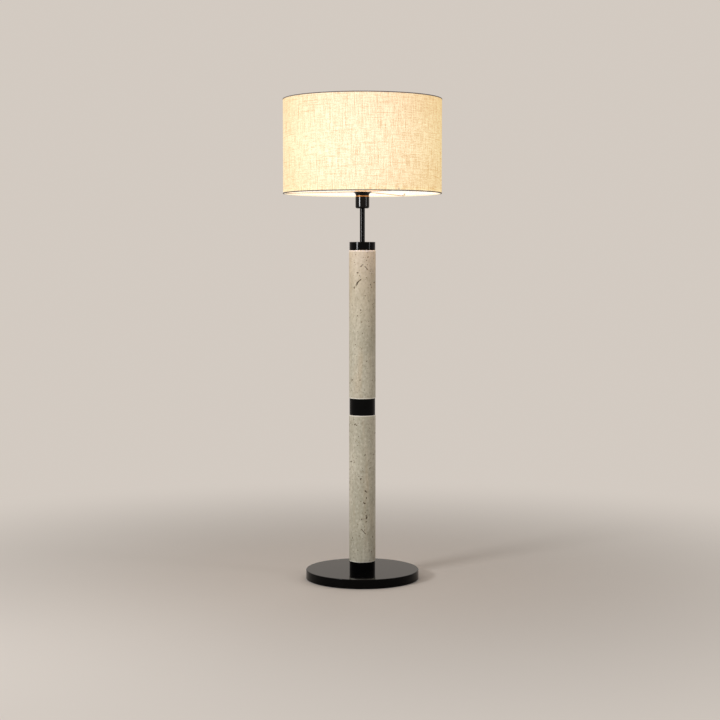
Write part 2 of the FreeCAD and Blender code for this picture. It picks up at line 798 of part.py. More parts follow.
def save_bulb_top():
    """White housing, opal globe and the board of light emitters between them."""
    globe_z = bulb_foot + globe_middle
    rim = bulb_foot + housing_height
    rim_radius = math.sqrt(globe_radius ** 2 - (globe_z - rim) ** 2)
    waist = ((housing_foot_radius + rim_radius) / 2 - housing_waist, bulb_foot + housing_height / 2)
    inner_waist = (waist[0] - housing_wall, waist[1])
    foot_bore_radius = bulb_thread_radius - bulb_thread_depth - bulb_cap_wall
    housing = turned([
        (foot_bore_radius, bulb_foot),
        (housing_foot_radius, bulb_foot),
        (waist, (rim_radius, rim)),
        (rim_radius - housing_wall, rim),
        (inner_waist, (housing_foot_radius - housing_wall / 2, bulb_foot + housing_wall)),
        (foot_bore_radius, bulb_foot + housing_wall),
    ])
    save("bulb_housing", housing)

    inner_radius = globe_radius - globe_wall
    inner_rim_radius = math.sqrt(inner_radius ** 2 - (globe_z - rim) ** 2)
    globe = turned([
        (rim_radius, rim),
        ((globe_radius, globe_z), (0, globe_z + globe_radius)),
        (0, globe_z + inner_radius),
        ((inner_radius, globe_z), (inner_rim_radius, rim)),
    ])
    save("bulb_globe", globe)

    board_top = rim - board_sunk
    save("led_board", cylinder(rim_radius - housing_wall - board_gap, board_top - board_thickness, board_top))
    half = led_side / 2
    chips = []
    for x, y in on_circle(led_circle, led_count):
        chips.append(box((x - half, x + half), (y - half, y + half), (board_top, board_top + led_height)))
    save("led_chips", *chips)


os.makedirs("parts", exist_ok=True)
save_base()
save_inlet()
save_terminal_block()
save_column()
save_rods()
save_stem()
save_holder_casing()
save_holder_inside()
save_wires()
save_shade_clamp()
save_shade()
save_bulb_cap()
save_bulb_top()
print(f"height {shade_top:.1f} mm, shade {2 * shade_radius:.0f} mm across, base {2 * base_radius:.0f} mm")
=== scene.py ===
"""A lit column floor lamp, dressed for a studio picture. Metres, +Z up, with the origin on the floor under
the column. The sizes of the lamp's pieces are in millimetres."""

import math

import bpy
import numpy as np
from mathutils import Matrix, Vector


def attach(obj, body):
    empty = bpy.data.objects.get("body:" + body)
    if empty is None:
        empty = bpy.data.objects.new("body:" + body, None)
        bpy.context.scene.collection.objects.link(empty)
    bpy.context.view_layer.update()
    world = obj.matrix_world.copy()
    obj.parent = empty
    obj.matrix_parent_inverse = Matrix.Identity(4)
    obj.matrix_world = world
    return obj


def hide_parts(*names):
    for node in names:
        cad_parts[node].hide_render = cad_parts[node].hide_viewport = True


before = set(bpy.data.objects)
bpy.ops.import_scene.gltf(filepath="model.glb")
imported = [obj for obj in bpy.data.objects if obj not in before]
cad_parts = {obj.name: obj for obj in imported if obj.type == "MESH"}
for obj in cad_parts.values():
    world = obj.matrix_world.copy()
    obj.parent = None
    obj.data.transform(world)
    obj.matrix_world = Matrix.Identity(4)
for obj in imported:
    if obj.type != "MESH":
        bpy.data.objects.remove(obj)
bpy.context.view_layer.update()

# ---- Camera ----
# It stands 5 m in front of the lamp, level with the upper end of the column, and looks down a little, so
# that the top of the base shows and so does the inside of the shade.

view_point = Vector((-0.0075, -4.973, 1.0109))
view_pitch = math.radians(86.414)
camera = bpy.data.objects.new("camera", bpy.data.cameras.new("camera"))
camera.data.sensor_width = 36
camera.data.lens = 78.43
camera.data.clip_end = 60
camera.location = view_point
camera.rotation_euler = (view_pitch, 0, 0)
bpy.context.scene.collection.objects.link(camera)
bpy.context.scene.camera = camera
bpy.context.scene.view_settings.view_transform = "Standard"

# ---- Studio ----
# A pale matt floor that fades into an equally pale surround, so that no horizon shows. Two softboxes light
# the column and draw the streaks on the black metal, two panels fill in, and a cool beam falls on the shade.
# A warm disc in the mouth of the shade stands for the light that the bulb throws down.


class Signal:
    """One output of a shader node. Arithmetic on it adds the Math nodes that work it out."""

    def __init__(self, finish, socket):
        self.finish = finish
        self.socket = socket

    def math(self, operation, *operands):
        return self.finish.node("Math", {"operation": operation}, dict(enumerate(operands)))

    def __add__(self, other):
        return self.math("ADD", self, other)

    def __sub__(self, other):
        return self.math("SUBTRACT", self, other)

    def __rsub__(self, other):
        return self.math("SUBTRACT", other, self)

    def __mul__(self, other):
        return self.math("MULTIPLY", self, other)

    def __truediv__(self, other):
        return self.math("DIVIDE", self, other)

    def __rtruediv__(self, other):
        return self.math("DIVIDE", other, self)

    def __pow__(self, other):
        return self.math("POWER", self, other)

    def __rpow__(self, other):
        return self.math("POWER", other, self)

    __radd__ = __add__
    __rmul__ = __mul__

    def axes(self):
        """The three numbers of a vector."""
        parts = self.finish.node("SeparateXYZ", {}, {"Vector": self})
        return [Signal(self.finish, socket) for socket in parts.socket.node.outputs]

    def ease(self, low, high):
        """0 below low, 1 above high, and a soft rise between them."""
        inputs = {"Value": self, "From Min": low, "From Max": high}
        return self.finish.node("MapRange", {"interpolation_type": "SMOOTHSTEP"}, inputs)

    def blend(self, first, second):
        """From the first colour at 0 to the second at 1."""
        inputs = {"Factor_Float": self, "A_Color": first, "B_Color": second}
        return self.finish.node("Mix", {"data_type": "RGBA"}, inputs, "Result_Color")

    def bump(self, rise):
        """A surface normal from a height of 0 to 1, which stands for a rise in metres."""
        return self.finish.node("Bump", {}, {"Height": self, "Distance": rise, "Strength": 1.0}, "Normal")


class Finish:
    """The node tree of one material, or of the surround."""

    def __init__(self, name, world=False):
        self.block = (bpy.data.worlds if world else bpy.data.materials).new(name)
        self.block.use_nodes = True
        self.tree = self.block.node_tree
        self.tree.nodes.clear()

    def node(self, kind, settings, inputs, output=0):
        """One output of a new shader node. Its settings come first, then the values or links of its sockets,
        each by its name, identifier or number."""
        node = self.tree.nodes.new("ShaderNode" + kind)
        for name, value in settings.items():
            if name == "stops":
                ramp = node.color_ramp.elements
                ramp.remove(ramp[1])
                for place, colour in value:
                    stop = ramp[0] if place == value[0][0] else ramp.new(place)
                    stop.position = place
                    stop.color = (*colour, 1)
            else:
                setattr(node, name, value)
        for key, value in inputs.items():
            found = [s for s in node.inputs if key in (s.identifier, s.name)] or [node.inputs[key]]
            if isinstance(value, Signal):
                self.tree.links.new(value.socket, found[0])
            elif isinstance(value, tuple) and found[0].type == "RGBA":
                found[0].default_value = (*value, 1)
            else:
                found[0].default_value = value
        found = [s for s in node.outputs if output in (s.identifier, s.name)] or list(node.outputs)
        return Signal(self, found[0]) if found else None

    def place(self):
        """Where a point of the piece is, at rest."""
        return self.node("TexCoord", {}, {}, "Object")

    def point(self, x, y, z=0.0):
        """A vector from three numbers."""
        return self.node("CombineXYZ", {}, {"X": x, "Y": y, "Z": z})

    def noise(self, patches, detail=2.0, roughness=0.5, spot=None):
        """Cloudy noise from 0 to 1, with so many patches to the metre, or so many along x, y and z."""
        spot = spot or self.place()
        if isinstance(patches, tuple):
            spot = self.node("Mapping", {}, {"Vector": spot, "Scale": patches})
            patches = 1.0
        inputs = {"Vector": spot, "Scale": patches, "Detail": detail, "Roughness": roughness}
        return self.node("TexNoise", {}, inputs)

    def surface(self, **sockets):
        """Ends the tree in one principled surface. base_color stands for Base Color, and so on."""
        names = {key: key.replace("_", " ").title().replace("Ior", "IOR") for key in sockets}
        shader = self.node("BsdfPrincipled", {}, {names[key]: value for key, value in sockets.items()})
        self.node("OutputMaterial", {}, {"Surface": shader})
        return self


pale = (0.650, 0.592, 0.536)
floor_colour = (0.74, 0.685, 0.635)
ambient = (0.315, 0.308, 0.298)
fade_start = 0.3
fade_end = 2.3

surround = Finish("surround", world=True)
rays = surround.node("LightPath", {}, {})
seen = {socket.name: Signal(surround, socket) for socket in rays.socket.node.outputs}
shown = seen["Is Camera Ray"] + seen["Is Glossy Ray"] + seen["Is Transmission Ray"]
shown = shown.math("MINIMUM", shown, 1.0)
sky = surround.node("Background", {}, {"Color": shown.blend(ambient, pale), "Strength": 1.0})
surround.node("OutputWorld", {}, {"Surface": sky})
bpy.context.scene.world = surround.block

ground = Finish("studio_floor")
far_x, far_y = ground.place().axes()[:2]
far = (far_x * far_x + far_y * far_y) ** 0.5
fade = far.ease(fade_start, fade_end)
mottle = ground.noise(2.5, 4.0)
matt = ground.node("BsdfPrincipled", {}, {
    "Base Color": mottle.blend(tuple(0.97 * c for c in floor_colour), floor_colour),
    "Roughness": 0.75,
    "Specular IOR Level": 0.2,
})
glow = ground.node("Emission", {}, {"Color": pale, "Strength": 1.0})
ground.node("OutputMaterial", {}, {"Surface": ground.node("MixShader", {}, {0: fade, 1: matt, 2: glow})})

floor_mesh = bpy.data.meshes.new("studio_floor")
floor_size = 30
corners = [(x * floor_size, y * floor_size, 0) for x, y in ((-1, -1), (1, -1), (1, 1), (-1, 1))]
floor_mesh.from_pydata(corners, [], [(0, 1, 2, 3)])
floor_mesh.materials.append(ground.block)
studio_floor = bpy.data.objects.new("studio_floor", floor_mesh)
bpy.context.scene.collection.objects.link(studio_floor)


def studio_lamp(name, kind, place, aim, energy, **settings):
    """A lamp that points at a height on the lamp's axis. place is its bearing in degrees to the right of the
    camera, its distance from the axis and its height."""
    lamp = bpy.data.objects.new(name, bpy.data.lights.new(name, kind))
    lamp.data.energy = energy
    for setting, value in settings.items():
        setattr(lamp.data, setting, value)
    turn = math.radians(place[0])
    lamp.location = (place[1] * math.sin(turn), -place[1] * math.cos(turn), place[2])
    lamp.rotation_euler = (Vector((0, 0, aim)) - lamp.location).to_track_quat("-Z", "Y").to_euler()
    lamp.visible_camera = False
    bpy.context.scene.collection.objects.link(lamp)


def softbox(name, place, size, radiance, aim=0.9, shape="RECTANGLE", colour=(1, 1, 1)):
    """A flat lamp. radiance is how bright its face looks."""
    energy = radiance * math.pi * size[0] * size[1]
    studio_lamp(name, "AREA", place, aim, energy, shape=shape, size=size[0], size_y=size[1], color=colour)


softbox("left_box", (-47, 2.8, 1.22), (0.60, 0.30), 66.0, aim=1.22)
softbox("right_box", (66, 2.8, 1.22), (0.32, 0.30), 20.0, aim=1.22)
softbox("front_panel", (-38, 3.4, 2.9), (1.8, 1.5), 1.0)
softbox("rear_panel", (160, 4.2, 2.8), (2.0, 1.4), 1.3)
softbox("glow_from_shade", (0, 0.0, 1.24), (0.47, 0.47), 1.7, 0.0, "ELLIPSE", (1.0, 0.52, 0.16))
studio_lamp("beam_on_shade", "SPOT", (-6, 3.6, 2.0), 1.400, 430.0, color=(0.55, 0.58, 1.0),
            spot_size=math.radians(12.5), spot_blend=0.6, shadow_soft_size=0.15)

# ---- Foot pads ----
# Six pads of soft black rubber, punched from sheet and glued under the bottom plate. They lift the cover's
# edge off the floor. The gaskets of the stones are of the same rubber.

mm = 0.001


def dress(finish, *nodes):
    """A finish for CAD nodes that keep their own mesh."""
    for name in nodes:
        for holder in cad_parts[name].material_slots:
            holder.material = finish.block


def grained(name, patches, detail, dark, light, roughness, relief=0.0, **sockets):
    """A finish with one grain in its colour, roughness and relief. roughness is its least and its spread,
    and relief is in millimetres."""
    finish = Finish(name)
    grain = finish.noise(patches, detail)
    if relief:
        sockets["normal"] = grain.bump(relief * mm)
    least, spread = roughness
    return finish.surface(base_color=grain.blend(dark, light), roughness=least + spread * grain, **sockets)


rubber = grained("soft_black", 900.0, 4.0, (0.012, 0.012, 0.012), (0.028, 0.027, 0.026), (0.7, 0.15), 0.15)
dress(rubber, "foot_pads", "stone_gaskets")

# ---- Bottom plate, screws, rods, nuts and washers ----
# Zinc-plated steel. The plate closes the base, and two hollow rods with their nuts clamp each stone between
# its collars.

zinc = Finish("zinc_plate")
spangle = zinc.noise(160.0, 3.0, 0.6)
brushing = zinc.noise((900, 30, 30), 3.0)
zinc.surface(
    base_color=spangle.blend((0.44, 0.445, 0.45), (0.62, 0.62, 0.60)),
    metallic=1.0,
    roughness=0.26 + 0.22 * brushing,
    normal=brushing.bump(0.02 * mm),
)
dress(zinc, "bottom_plate", "plate_screws", "block_screws", "base_washer", "base_lock_washer", "base_nut",
      "lower_rod", "upper_rod", "coupling_nut", "section_nuts", "stem_nipple", "holder_nut",
      "terminal_screws", "clamp_washer")

# ---- Base weight ----
# A rough grey casting that fills the base and keeps the lamp upright. A recess below takes the nut and the
# terminal block.

casting = Finish("grey_casting")
sand = casting.noise(420.0, 6.0, 0.7)
rust = casting.noise(18.0, 4.0)
casting.surface(
    base_color=rust.ease(0.55, 0.75).blend((0.10, 0.10, 0.10), (0.16, 0.10, 0.07)),
    metallic=0.55,
    roughness=0.62 + 0.25 * sand,
    normal=sand.bump(0.4 * mm),
)
dress(casting, "base_weight")

# ---- Terminal block ----
# A white moulded block with two poles, screwed up under the weight. The two wires from the lampholder end
# in it.

moulding = grained("white_moulding", 700.0, 2.0, (0.72, 0.715, 0.70), (0.77, 0.765, 0.75),
                   (0.34, 0.12), 0.03)
dress(moulding, "terminal_block")

# ---- Base cover ----
# A spun steel dish under gloss black enamel, pressed down over the weight. Its rim is rolled to a small
# radius.


def softened(section, steps=5):
    """A closed outline of (radius, height) in millimetres. A third number is the radius of that corner."""
    outline = []
    for before, corner, after in zip(section[-1:] + section, section, section[1:] + section[:1]):
        here = np.array(corner[:2], float)
        if len(corner) == 2:
            outline.append(here)
            continue
        back = np.array(before[:2], float) - here
        ahead = np.array(after[:2], float) - here
        back /= np.linalg.norm(back)
        ahead /= np.linalg.norm(ahead)
        half = math.acos(np.clip(back @ ahead, -1, 1)) / 2
        middle = here + (back + ahead) / np.linalg.norm(back + ahead) * corner[2] / math.sin(half)
        first = here + back * corner[2] / math.tan(half) - middle
        last = here + ahead * corner[2] / math.tan(half) - middle
        sweep = math.pi - 2 * half
        for step in range(steps + 1):
            share = step / steps
            first_part = math.sin((1 - share) * sweep) / math.sin(sweep)
            last_part = math.sin(share * sweep) / math.sin(sweep)
            outline.append(middle + first * first_part + last * last_part)
    return outline


def held(outline, margin=0.35):
    """The outline with a point close to both ends of each long run, so that flats stay flat when shaded."""
    points = []
    for here, there in zip(outline, outline[1:] + outline[:1]):
        points.append(here)
        run = np.linalg.norm(there - here)
        if run > 4 * margin:
            points.append(here + (there - here) * margin / run)
            points.append(there - (there - here) * margin / run)
    return points


def solid(name, vertices, faces, crease=35.0):
    """A smooth-shaded mesh from points in millimetres, sharp where its faces meet at more than crease."""
    mesh = bpy.data.meshes.new(name)
    mesh.from_pydata((np.asarray(vertices, float) * mm).tolist(), [], faces)
    mesh.validate()
    mesh.polygons.foreach_set("use_smooth", [True] * len(mesh.polygons))
    mesh.set_sharp_from_angle(angle=math.radians(crease))
    piece = bpy.data.objects.new(name, mesh)
    bpy.context.scene.collection.objects.link(piece)
    return piece


def bearings(count):
    """So many bearings round the axis, in radians."""
    return np.arange(count) * 2 * math.pi / count


def turned(name, section, segments=256, steps=5, margin=0.35):
    """The outline turned about the lamp's axis. A point on the axis becomes one vertex."""
    outline = held(softened(section, steps), margin)
    turn = bearings(segments)
    vertices = []
    rings = []
    for radius, height in outline:
        start = len(vertices)
        if radius < 1e-6:
            vertices.append((0, 0, height))
            rings.append([start] * segments)
        else:
            vertices.extend(zip(radius * np.cos(turn), radius * np.sin(turn), [height] * segments))
            rings.append(list(range(start, start + segments)))
    faces = []
    for lower, upper in zip(rings, rings[1:] + rings[:1]):
        for k in range(segments):
            after = (k + 1) % segments
            loop = list(dict.fromkeys((lower[k], lower[after], upper[after], upper[k])))
            if len(loop) > 2:
                faces.append(loop)
    return solid(name, vertices, faces)


def fit(piece, finish, slot, body, *nodes):
    """Gives a piece its finish and seats it on its body, in place of the CAD nodes it stands for."""
    piece.data.materials.append(finish.block)
    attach(piece, body)
    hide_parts(*nodes)
    return piece


enamel = Finish("black_enamel")
ripple = enamel.noise(55.0, 2.0, 0.4)
dust = enamel.noise(1500.0, 2.0, 0.6).ease(0.76, 0.86)
haze = enamel.noise(14.0, 3.0, 0.6)
enamel.surface(
    base_color=dust.blend((0.0012, 0.0012, 0.0013), (0.006, 0.0058, 0.0055)),
    roughness=0.05 + 0.05 * haze + 0.05 * dust,
    ior=1.16,
    normal=ripple.bump(0.005 * mm),
)

cover_radius = 180.0
cover_top = 30.0
cover_wall = 1.5
cover_edge = 2.5
skirt_gap = 1.5
rod_hole = 5.1
cover = turned("spun_base_cover", [
    (rod_hole, cover_top - cover_wall),
    (cover_radius - cover_wall, cover_top - cover_wall, 1.0),
    (cover_radius - cover_wall, skirt_gap, 0.4),
    (cover_radius, skirt_gap, 0.4),
    (cover_radius, cover_top, cover_edge),
    (rod_hole, cover_top),
], segments=384, steps=8)
fit(cover, enamel, "black_gloss", "stand", "base_cover")

# ---- Cable inlet ----
# A black moulded nylon bush with a rounded mouth. It goes through the back of the cover and is held by a nut
# inside.

nylon = grained("black_nylon", 1100.0, 3.0, (0.010, 0.010, 0.010), (0.018, 0.018, 0.018), (0.36, 0.15), 0.03)
dress(nylon, "inlet_nut")

inlet_height = 14.5
bush_bore = 3.5
bush_radius = 6.0
bush_length = 16.0
bush_flange = 9.0
bush_head = 2.5
bush = turned("inlet_bush", [
    (bush_bore, -bush_length, 0.6),
    (bush_radius, -bush_length, 0.5),
    (bush_radius, 0.0),
    (bush_flange, 0.0, 0.3),
    (bush_flange, bush_head - 1.3, 1.0),
    (bush_flange - 1.5, bush_head, 0.5),
    (bush_bore, bush_head, 0.8),
], segments=96)
bush.rotation_euler = (math.radians(-90), 0, 0)
bush.location = (0, cover_radius * mm, inlet_height * mm)
fit(bush, nylon, "holder_black", "stand", "cable_inlet")

# ---- Collars ----
# Four cups of turned steel under the same black enamel, alike but for the lid's seat in the top one. A web
# and a spigot hold each stone. The two in the middle stand back to back and show as one ring, twice as high.

collar_radius = 41.0
collar_inside = 37.0
collar_height = 26.0
collar_web = 6.0
collar_edge = 0.45
spigot_radius = 14.5
spigot_height = 8.0
lid_seat = 38.0
lid_thickness = 3.0
gasket = 0.5
stone_length = 468.5
lower_stone_foot = cover_top + collar_height + gasket
column_joint = lower_stone_foot + stone_length + gasket + collar_height
upper_stone_foot = column_joint + collar_height + gasket
column_head = upper_stone_foot + stone_length + gasket + collar_height


def collar(name, node, face, up, lip):
    """A collar whose web meets the stone at face. up is 1 where the stone is above it, and -1 where it is
    below. lip is the inside of its open end."""
    section = [
        (rod_hole, -collar_web),
        (collar_inside, -collar_web, 0.8),
        *lip,
        (collar_radius, -collar_height, collar_edge),
        (collar_radius, 0.0, collar_edge),
        (spigot_radius, 0.0),
        (spigot_radius, spigot_height, 1.0),
        (rod_hole, spigot_height, 0.3),
    ]
    ring = turned(name, [(corner[0], face + up * corner[1], *corner[2:]) for corner in section])
    return fit(ring, enamel, "black_gloss", "stand", node)


plain_lip = [(collar_inside, -collar_height, 0.2)]
lid_foot = lid_thickness - collar_height
lid_rebate = [(collar_inside, lid_foot), (lid_seat, lid_foot), (lid_seat, -collar_height, 0.25)]
collar("collar_on_base", "bottom_collar", cover_top + collar_height, 1, plain_lip)
collar("collar_over_lower_stone", "lower_middle_collar", column_joint - collar_height, -1, plain_lip)
collar("collar_under_upper_stone", "upper_middle_collar", column_joint + collar_height, 1, plain_lip)
collar("collar_at_top", "top_collar", column_head - collar_height, -1, lid_rebate)

# ---- Stone tubes ----
# Two drilled and turned lengths of cream travertine, honed and left unfilled. The open pits run in slanting
# clusters, each with a brown stain round its edge and painted shade, near black, deeper in. Both ends have a
# small softened edge with a pale band painted along it as a highlight, and the top of the upper stone is
# painted warmer, as the shade's light falling on it.

stone_radius = 42.0
stone_bore = 15.0
stone_grid = 1.0
stone_edge = 1.2
rim_width = 3.0
end_ring = 26.0
pit_reach = 2.2
pit_steepness = 7.0
shallowest_pit = 0.02
cluster_count = 26
single_count = 420


def pit_field(seed, marks, span):
    """Open pits as (bearing, height, half length, half width, slant, depth): the marks on the front, then
    clusters and single ones at random."""
    chance = np.random.RandomState(seed)
    pits = [(math.radians(bearing), height, 1.1 * length, 1.1 * width, math.radians(slant), 1.3 * depth)
            for bearing, height, length, width, slant, depth in marks]
    for cluster in range(cluster_count):
        bearing = chance.uniform(math.radians(62), math.radians(298))
        height = chance.uniform(12, span - 12)
        slant = math.radians(chance.normal(52, 16))
        reach = chance.uniform(8, 34)
        for pit in range(chance.randint(3, 9)):
            along = chance.uniform(-reach, reach)
            across = chance.normal(0, 2.6)
            size = 0.55 + 1.5 * chance.beta(1.3, 3.2)
            pits.append((
                bearing + (along * math.cos(slant) - across * math.sin(slant)) / stone_radius,
                height + along * math.sin(slant) + across * math.cos(slant),
                size * chance.uniform(1.1, 2.6),
                size,
                slant + chance.normal(0, 0.45),
                chance.uniform(0.7, 1.9),
            ))
    for single in range(single_count):
        size = chance.uniform(0.45, 1.05)
        pits.append((
            chance.uniform(0, 2 * math.pi), chance.uniform(3, span - 3),
            size * chance.uniform(1.0, 2.0), size, chance.uniform(0, math.pi), chance.uniform(0.4, 0.9),
        ))
    return pits


def ring_faces(rings, points, closed=True):
    """Four-sided faces between rings of points. closed also joins the last ring to the first."""
    ring = np.arange(rings)[:, None] * points
    here = np.arange(points)[None, :]
    after = (here + 1) % points
    above = np.roll(ring, -1, axis=0)
    faces = np.stack([ring + here, ring + after, above + after, above + here], -1)
    return faces[:rings if closed else rings - 1].reshape(-1, 4).tolist()


def stone_tube(name, node, foot, seed, marks):
    """One stone, with its pits pressed into a fine grid."""
    segments = int(2 * math.pi * stone_radius / stone_grid)
    rows = int(stone_length / stone_grid)
    chance = np.random.RandomState(seed + 500)
    bearing = bearings(segments)
    edge = [(stone_radius - stone_edge, 0.0), (stone_radius - 0.35 * stone_edge, 0.25 * stone_edge)]
    heights = np.linspace(stone_edge, stone_length - stone_edge, rows)
    outside = edge + [(stone_radius, height) for height in heights]
    outside += [(radius, stone_length - height) for radius, height in reversed(edge)]
    level = np.array([height for radius, height in outside])
    sunk = np.zeros((len(outside), segments))
    wobble = chance.uniform(0, 2 * math.pi, 3)
    for turn, height, length, width, slant, depth in pit_field(seed, marks, stone_length):
        near = np.nonzero(abs(level - height) < pit_reach * (length + width))[0]
        side = (bearing - turn + math.pi) % (2 * math.pi) - math.pi
        close = np.nonzero(abs(side) * stone_radius < pit_reach * (length + width))[0]
        if not len(near) or not len(close):
            continue
        right = side[close][None, :] * stone_radius
        above = level[near][:, None] - height
        along = right * math.cos(slant) + above * math.sin(slant)
        across = above * math.cos(slant) - right * math.sin(slant)
        bearing_in_pit = np.arctan2(across / width, along / length)
        uneven = 1 + 0.22 * np.sin(2 * bearing_in_pit + wobble[0] + height)
        uneven += 0.14 * np.sin(5 * bearing_in_pit + wobble[1] + 3 * turn)
        distance = np.hypot(along / length, across / width) / uneven
        press = depth / (1 + np.exp((distance - 1.0) * pit_steepness))
        window = np.ix_(near, close)
        sunk[window] = np.maximum(sunk[window], press)
    sunk[sunk < shallowest_pit] = 0

    closing = [(end_ring, stone_length), (stone_bore, stone_length), (stone_bore, 0.0), (end_ring, 0.0)]
    radius = np.array([r for r, h in outside + closing])[:, None] * np.ones(segments)
    radius[:len(outside)] -= sunk
    height = np.array([h for r, h in outside + closing])[:, None] * np.ones(segments) + foot
    vertices = np.stack([radius * np.sin(bearing), -radius * np.cos(bearing), height], -1).reshape(-1, 3)
    tube = solid(name, vertices, ring_faces(len(outside) + len(closing), segments), crease=60.0)
    # Two layers for the finish: the depth of the pits, and a pale band at each end that is a painted
    # highlight.
    from_end = np.minimum(level, stone_length - level)[:, None] * np.ones(segments)
    for mark, values in (("pit", sunk), ("ground_rim", np.clip(1.4 - from_end / rim_width, 0, 1))):
        layer = np.zeros(len(vertices), np.float32)
        layer[:values.size] = values.ravel()
        tube.data.attributes.new(mark, "FLOAT", "POINT").data.foreach_set("value", layer)
    return fit(tube, travertine, "travertine", "stand", node)


travertine = Finish("travertine")
cloud = travertine.noise((16, 16, 5.5), 4.0, 0.55)
vein = travertine.noise((60, 60, 12), 5.0, 0.62)
warm = travertine.noise((30, 30, 3.0), 2.0, 0.5)
grit = travertine.noise(620.0, 4.0, 0.65)
pin = travertine.noise((360, 360, 250), 3.0, 0.55).ease(0.655, 0.72)
speckle = travertine.noise((150, 150, 105), 3.0, 0.6)
height = travertine.place().axes()[2]
ground_rim = travertine.node("Attribute", {"attribute_name": "ground_rim"}, {}, "Fac")
pit_stain_and_shade = travertine.node("Attribute", {"attribute_name": "pit"}, {}, "Fac")
cream = cloud.ease(0.36, 0.66).blend((0.455, 0.430, 0.334), (0.600, 0.560, 0.447))
for share, tint in (
    (warm.ease(0.55, 0.80) * 0.55, (0.560, 0.430, 0.275)),
    (vein.ease(0.52, 0.74) * 0.40, (0.400, 0.375, 0.300)),
    (vein.ease(0.42, 0.26) * 0.35, (0.700, 0.650, 0.550)),
    (speckle.ease(0.50, 0.68) * 0.50, (0.315, 0.270, 0.195)),
    (speckle.ease(0.48, 0.33) * 0.45, (0.740, 0.710, 0.615)),
    (grit * 0.30, (0.420, 0.380, 0.300)),
    # warmer towards the top of the upper stone: painted light from the shade above
    (height.ease(0.70, 1.05) * 0.30, (0.420, 0.320, 0.190)),
    (pin * 0.55, (0.230, 0.190, 0.130)),
    # a pale band at each end: painted highlight on the softened edge
    (ground_rim * 0.85, (0.860, 0.830, 0.740)),
    # brown stain round each pit, then painted shade, near black, deeper in
    (pit_stain_and_shade.ease(0.0, 0.25) * 0.45, (0.300, 0.215, 0.120)),
    (pit_stain_and_shade.ease(0.08, 0.60) * 0.92, (0.085, 0.062, 0.036)),
):
    cream = share.blend(cream, tint)
travertine.surface(
    base_color=cream,
    roughness=0.46 + 0.22 * grit + 0.20 * pin,
    specular_ior_level=0.35,
    normal=(1.0 - pin * 0.8 - grit * 0.25).bump(0.35 * mm),
)

# Each pit on the front: its bearing in degrees to the right, height above the stone's foot, half length,
# half width, slant and depth.
upper_marks = [
    (25, 447, 1.7, 1.2, 60, 1.5), (18, 437, 1.5, 0.9, 20, 1.1), (-5, 419, 2.6, 1.0, 55, 1.3),
    (1, 423, 1.6, 0.9, 10, 1.0), (14, 416, 2.6, 1.0, -45, 1.2), (21, 410, 2.4, 1.2, -40, 1.4),
    (-21, 398, 1.9, 1.4, 15, 1.5), (-12, 389, 1.4, 0.8, 40, 0.9), (46, 396, 1.6, 1.0, 60, 1.0),
    (-23, 365, 3.2, 2.0, 62, 2.0), (-16, 371, 3.2, 1.2, 45, 1.5), (-8, 376, 3.0, 1.1, 42, 1.3),
    (-38, 351, 2.4, 1.5, 80, 1.6), (-27, 358, 1.6, 0.8, 60, 0.9), (38, 361, 2.0, 1.1, 50, 1.0),
    (44, 352, 1.5, 0.9, 60, 0.9), (12, 326, 1.4, 1.0, 70, 1.0), (7, 319, 1.2, 0.8, 0, 0.8),
    (-7, 281, 1.7, 1.2, 30, 1.2), (-21, 263, 1.6, 1.2, 40, 1.2), (30, 230, 1.4, 0.9, 50, 0.9),
    (-32, 172, 1.5, 0.9, 60, 1.0), (20, 120, 1.4, 1.0, 40, 1.0), (-10, 60, 1.6, 1.0, 50, 1.0),
]
lower_marks = [
    (-34, 441, 2.4, 1.4, 55, 1.3), (-26, 438, 1.6, 1.1, 20, 1.0), (-16, 403, 1.5, 0.9, 60, 0.9),
    (12, 344, 2.1, 1.1, 60, 1.3), (-39, 320, 1.6, 1.0, 40, 1.0), (-7, 268, 1.8, 1.6, 0, 1.7),
    (14, 229, 2.6, 1.3, -45, 1.5), (18, 226, 1.6, 1.0, -20, 1.2), (18, 207, 1.6, 1.2, 70, 1.3),
    (10, 190, 2.2, 1.5, 20, 1.7), (5, 193, 1.4, 0.9, 50, 1.0), (21, 168, 1.4, 0.9, 40, 0.9),
    (19, 144, 2.6, 2.0, 70, 2.2), (17, 151, 1.6, 1.0, 60, 1.2), (-3, 139, 1.8, 1.1, 55, 1.1),
    (17, 131, 1.8, 1.2, 10, 1.3), (-2, 106, 2.6, 0.8, -45, 1.0), (5, 100, 3.0, 0.8, -45, 1.1),
    (12, 94, 2.6, 0.9, -45, 1.1), (50, 80, 1.7, 1.2, 40, 1.3), (-14, 86, 1.4, 0.9, 60, 0.8),
    (-30, 210, 1.3, 0.8, 50, 0.8), (34, 300, 1.4, 0.9, 60, 0.9), (-20, 40, 1.3, 0.9, 40, 0.8),
]
stone_tube("lower_stone_tube", "lower_stone", lower_stone_foot, 11, lower_marks)
stone_tube("upper_stone_tube", "upper_stone", upper_stone_foot, 23, upper_marks)

# ---- Lid ----
# A steel disc under the same black enamel, let into its seat in the top collar. The stem stands on it and
# holds it down.

lid_radius = 37.9
lid = turned("column_lid", [
    (rod_hole, column_head - lid_thickness),
    (lid_radius, column_head - lid_thickness),
    (lid_radius, column_head, 0.3),
    (rod_hole, column_head),
])
fit(lid, enamel, "black_gloss", "stand", "top_lid")

# ---- Stem ----
# A black enamelled steel tube, 16 mm across, screwed down on the upper rod. Its two threads are inside and
# out of sight.

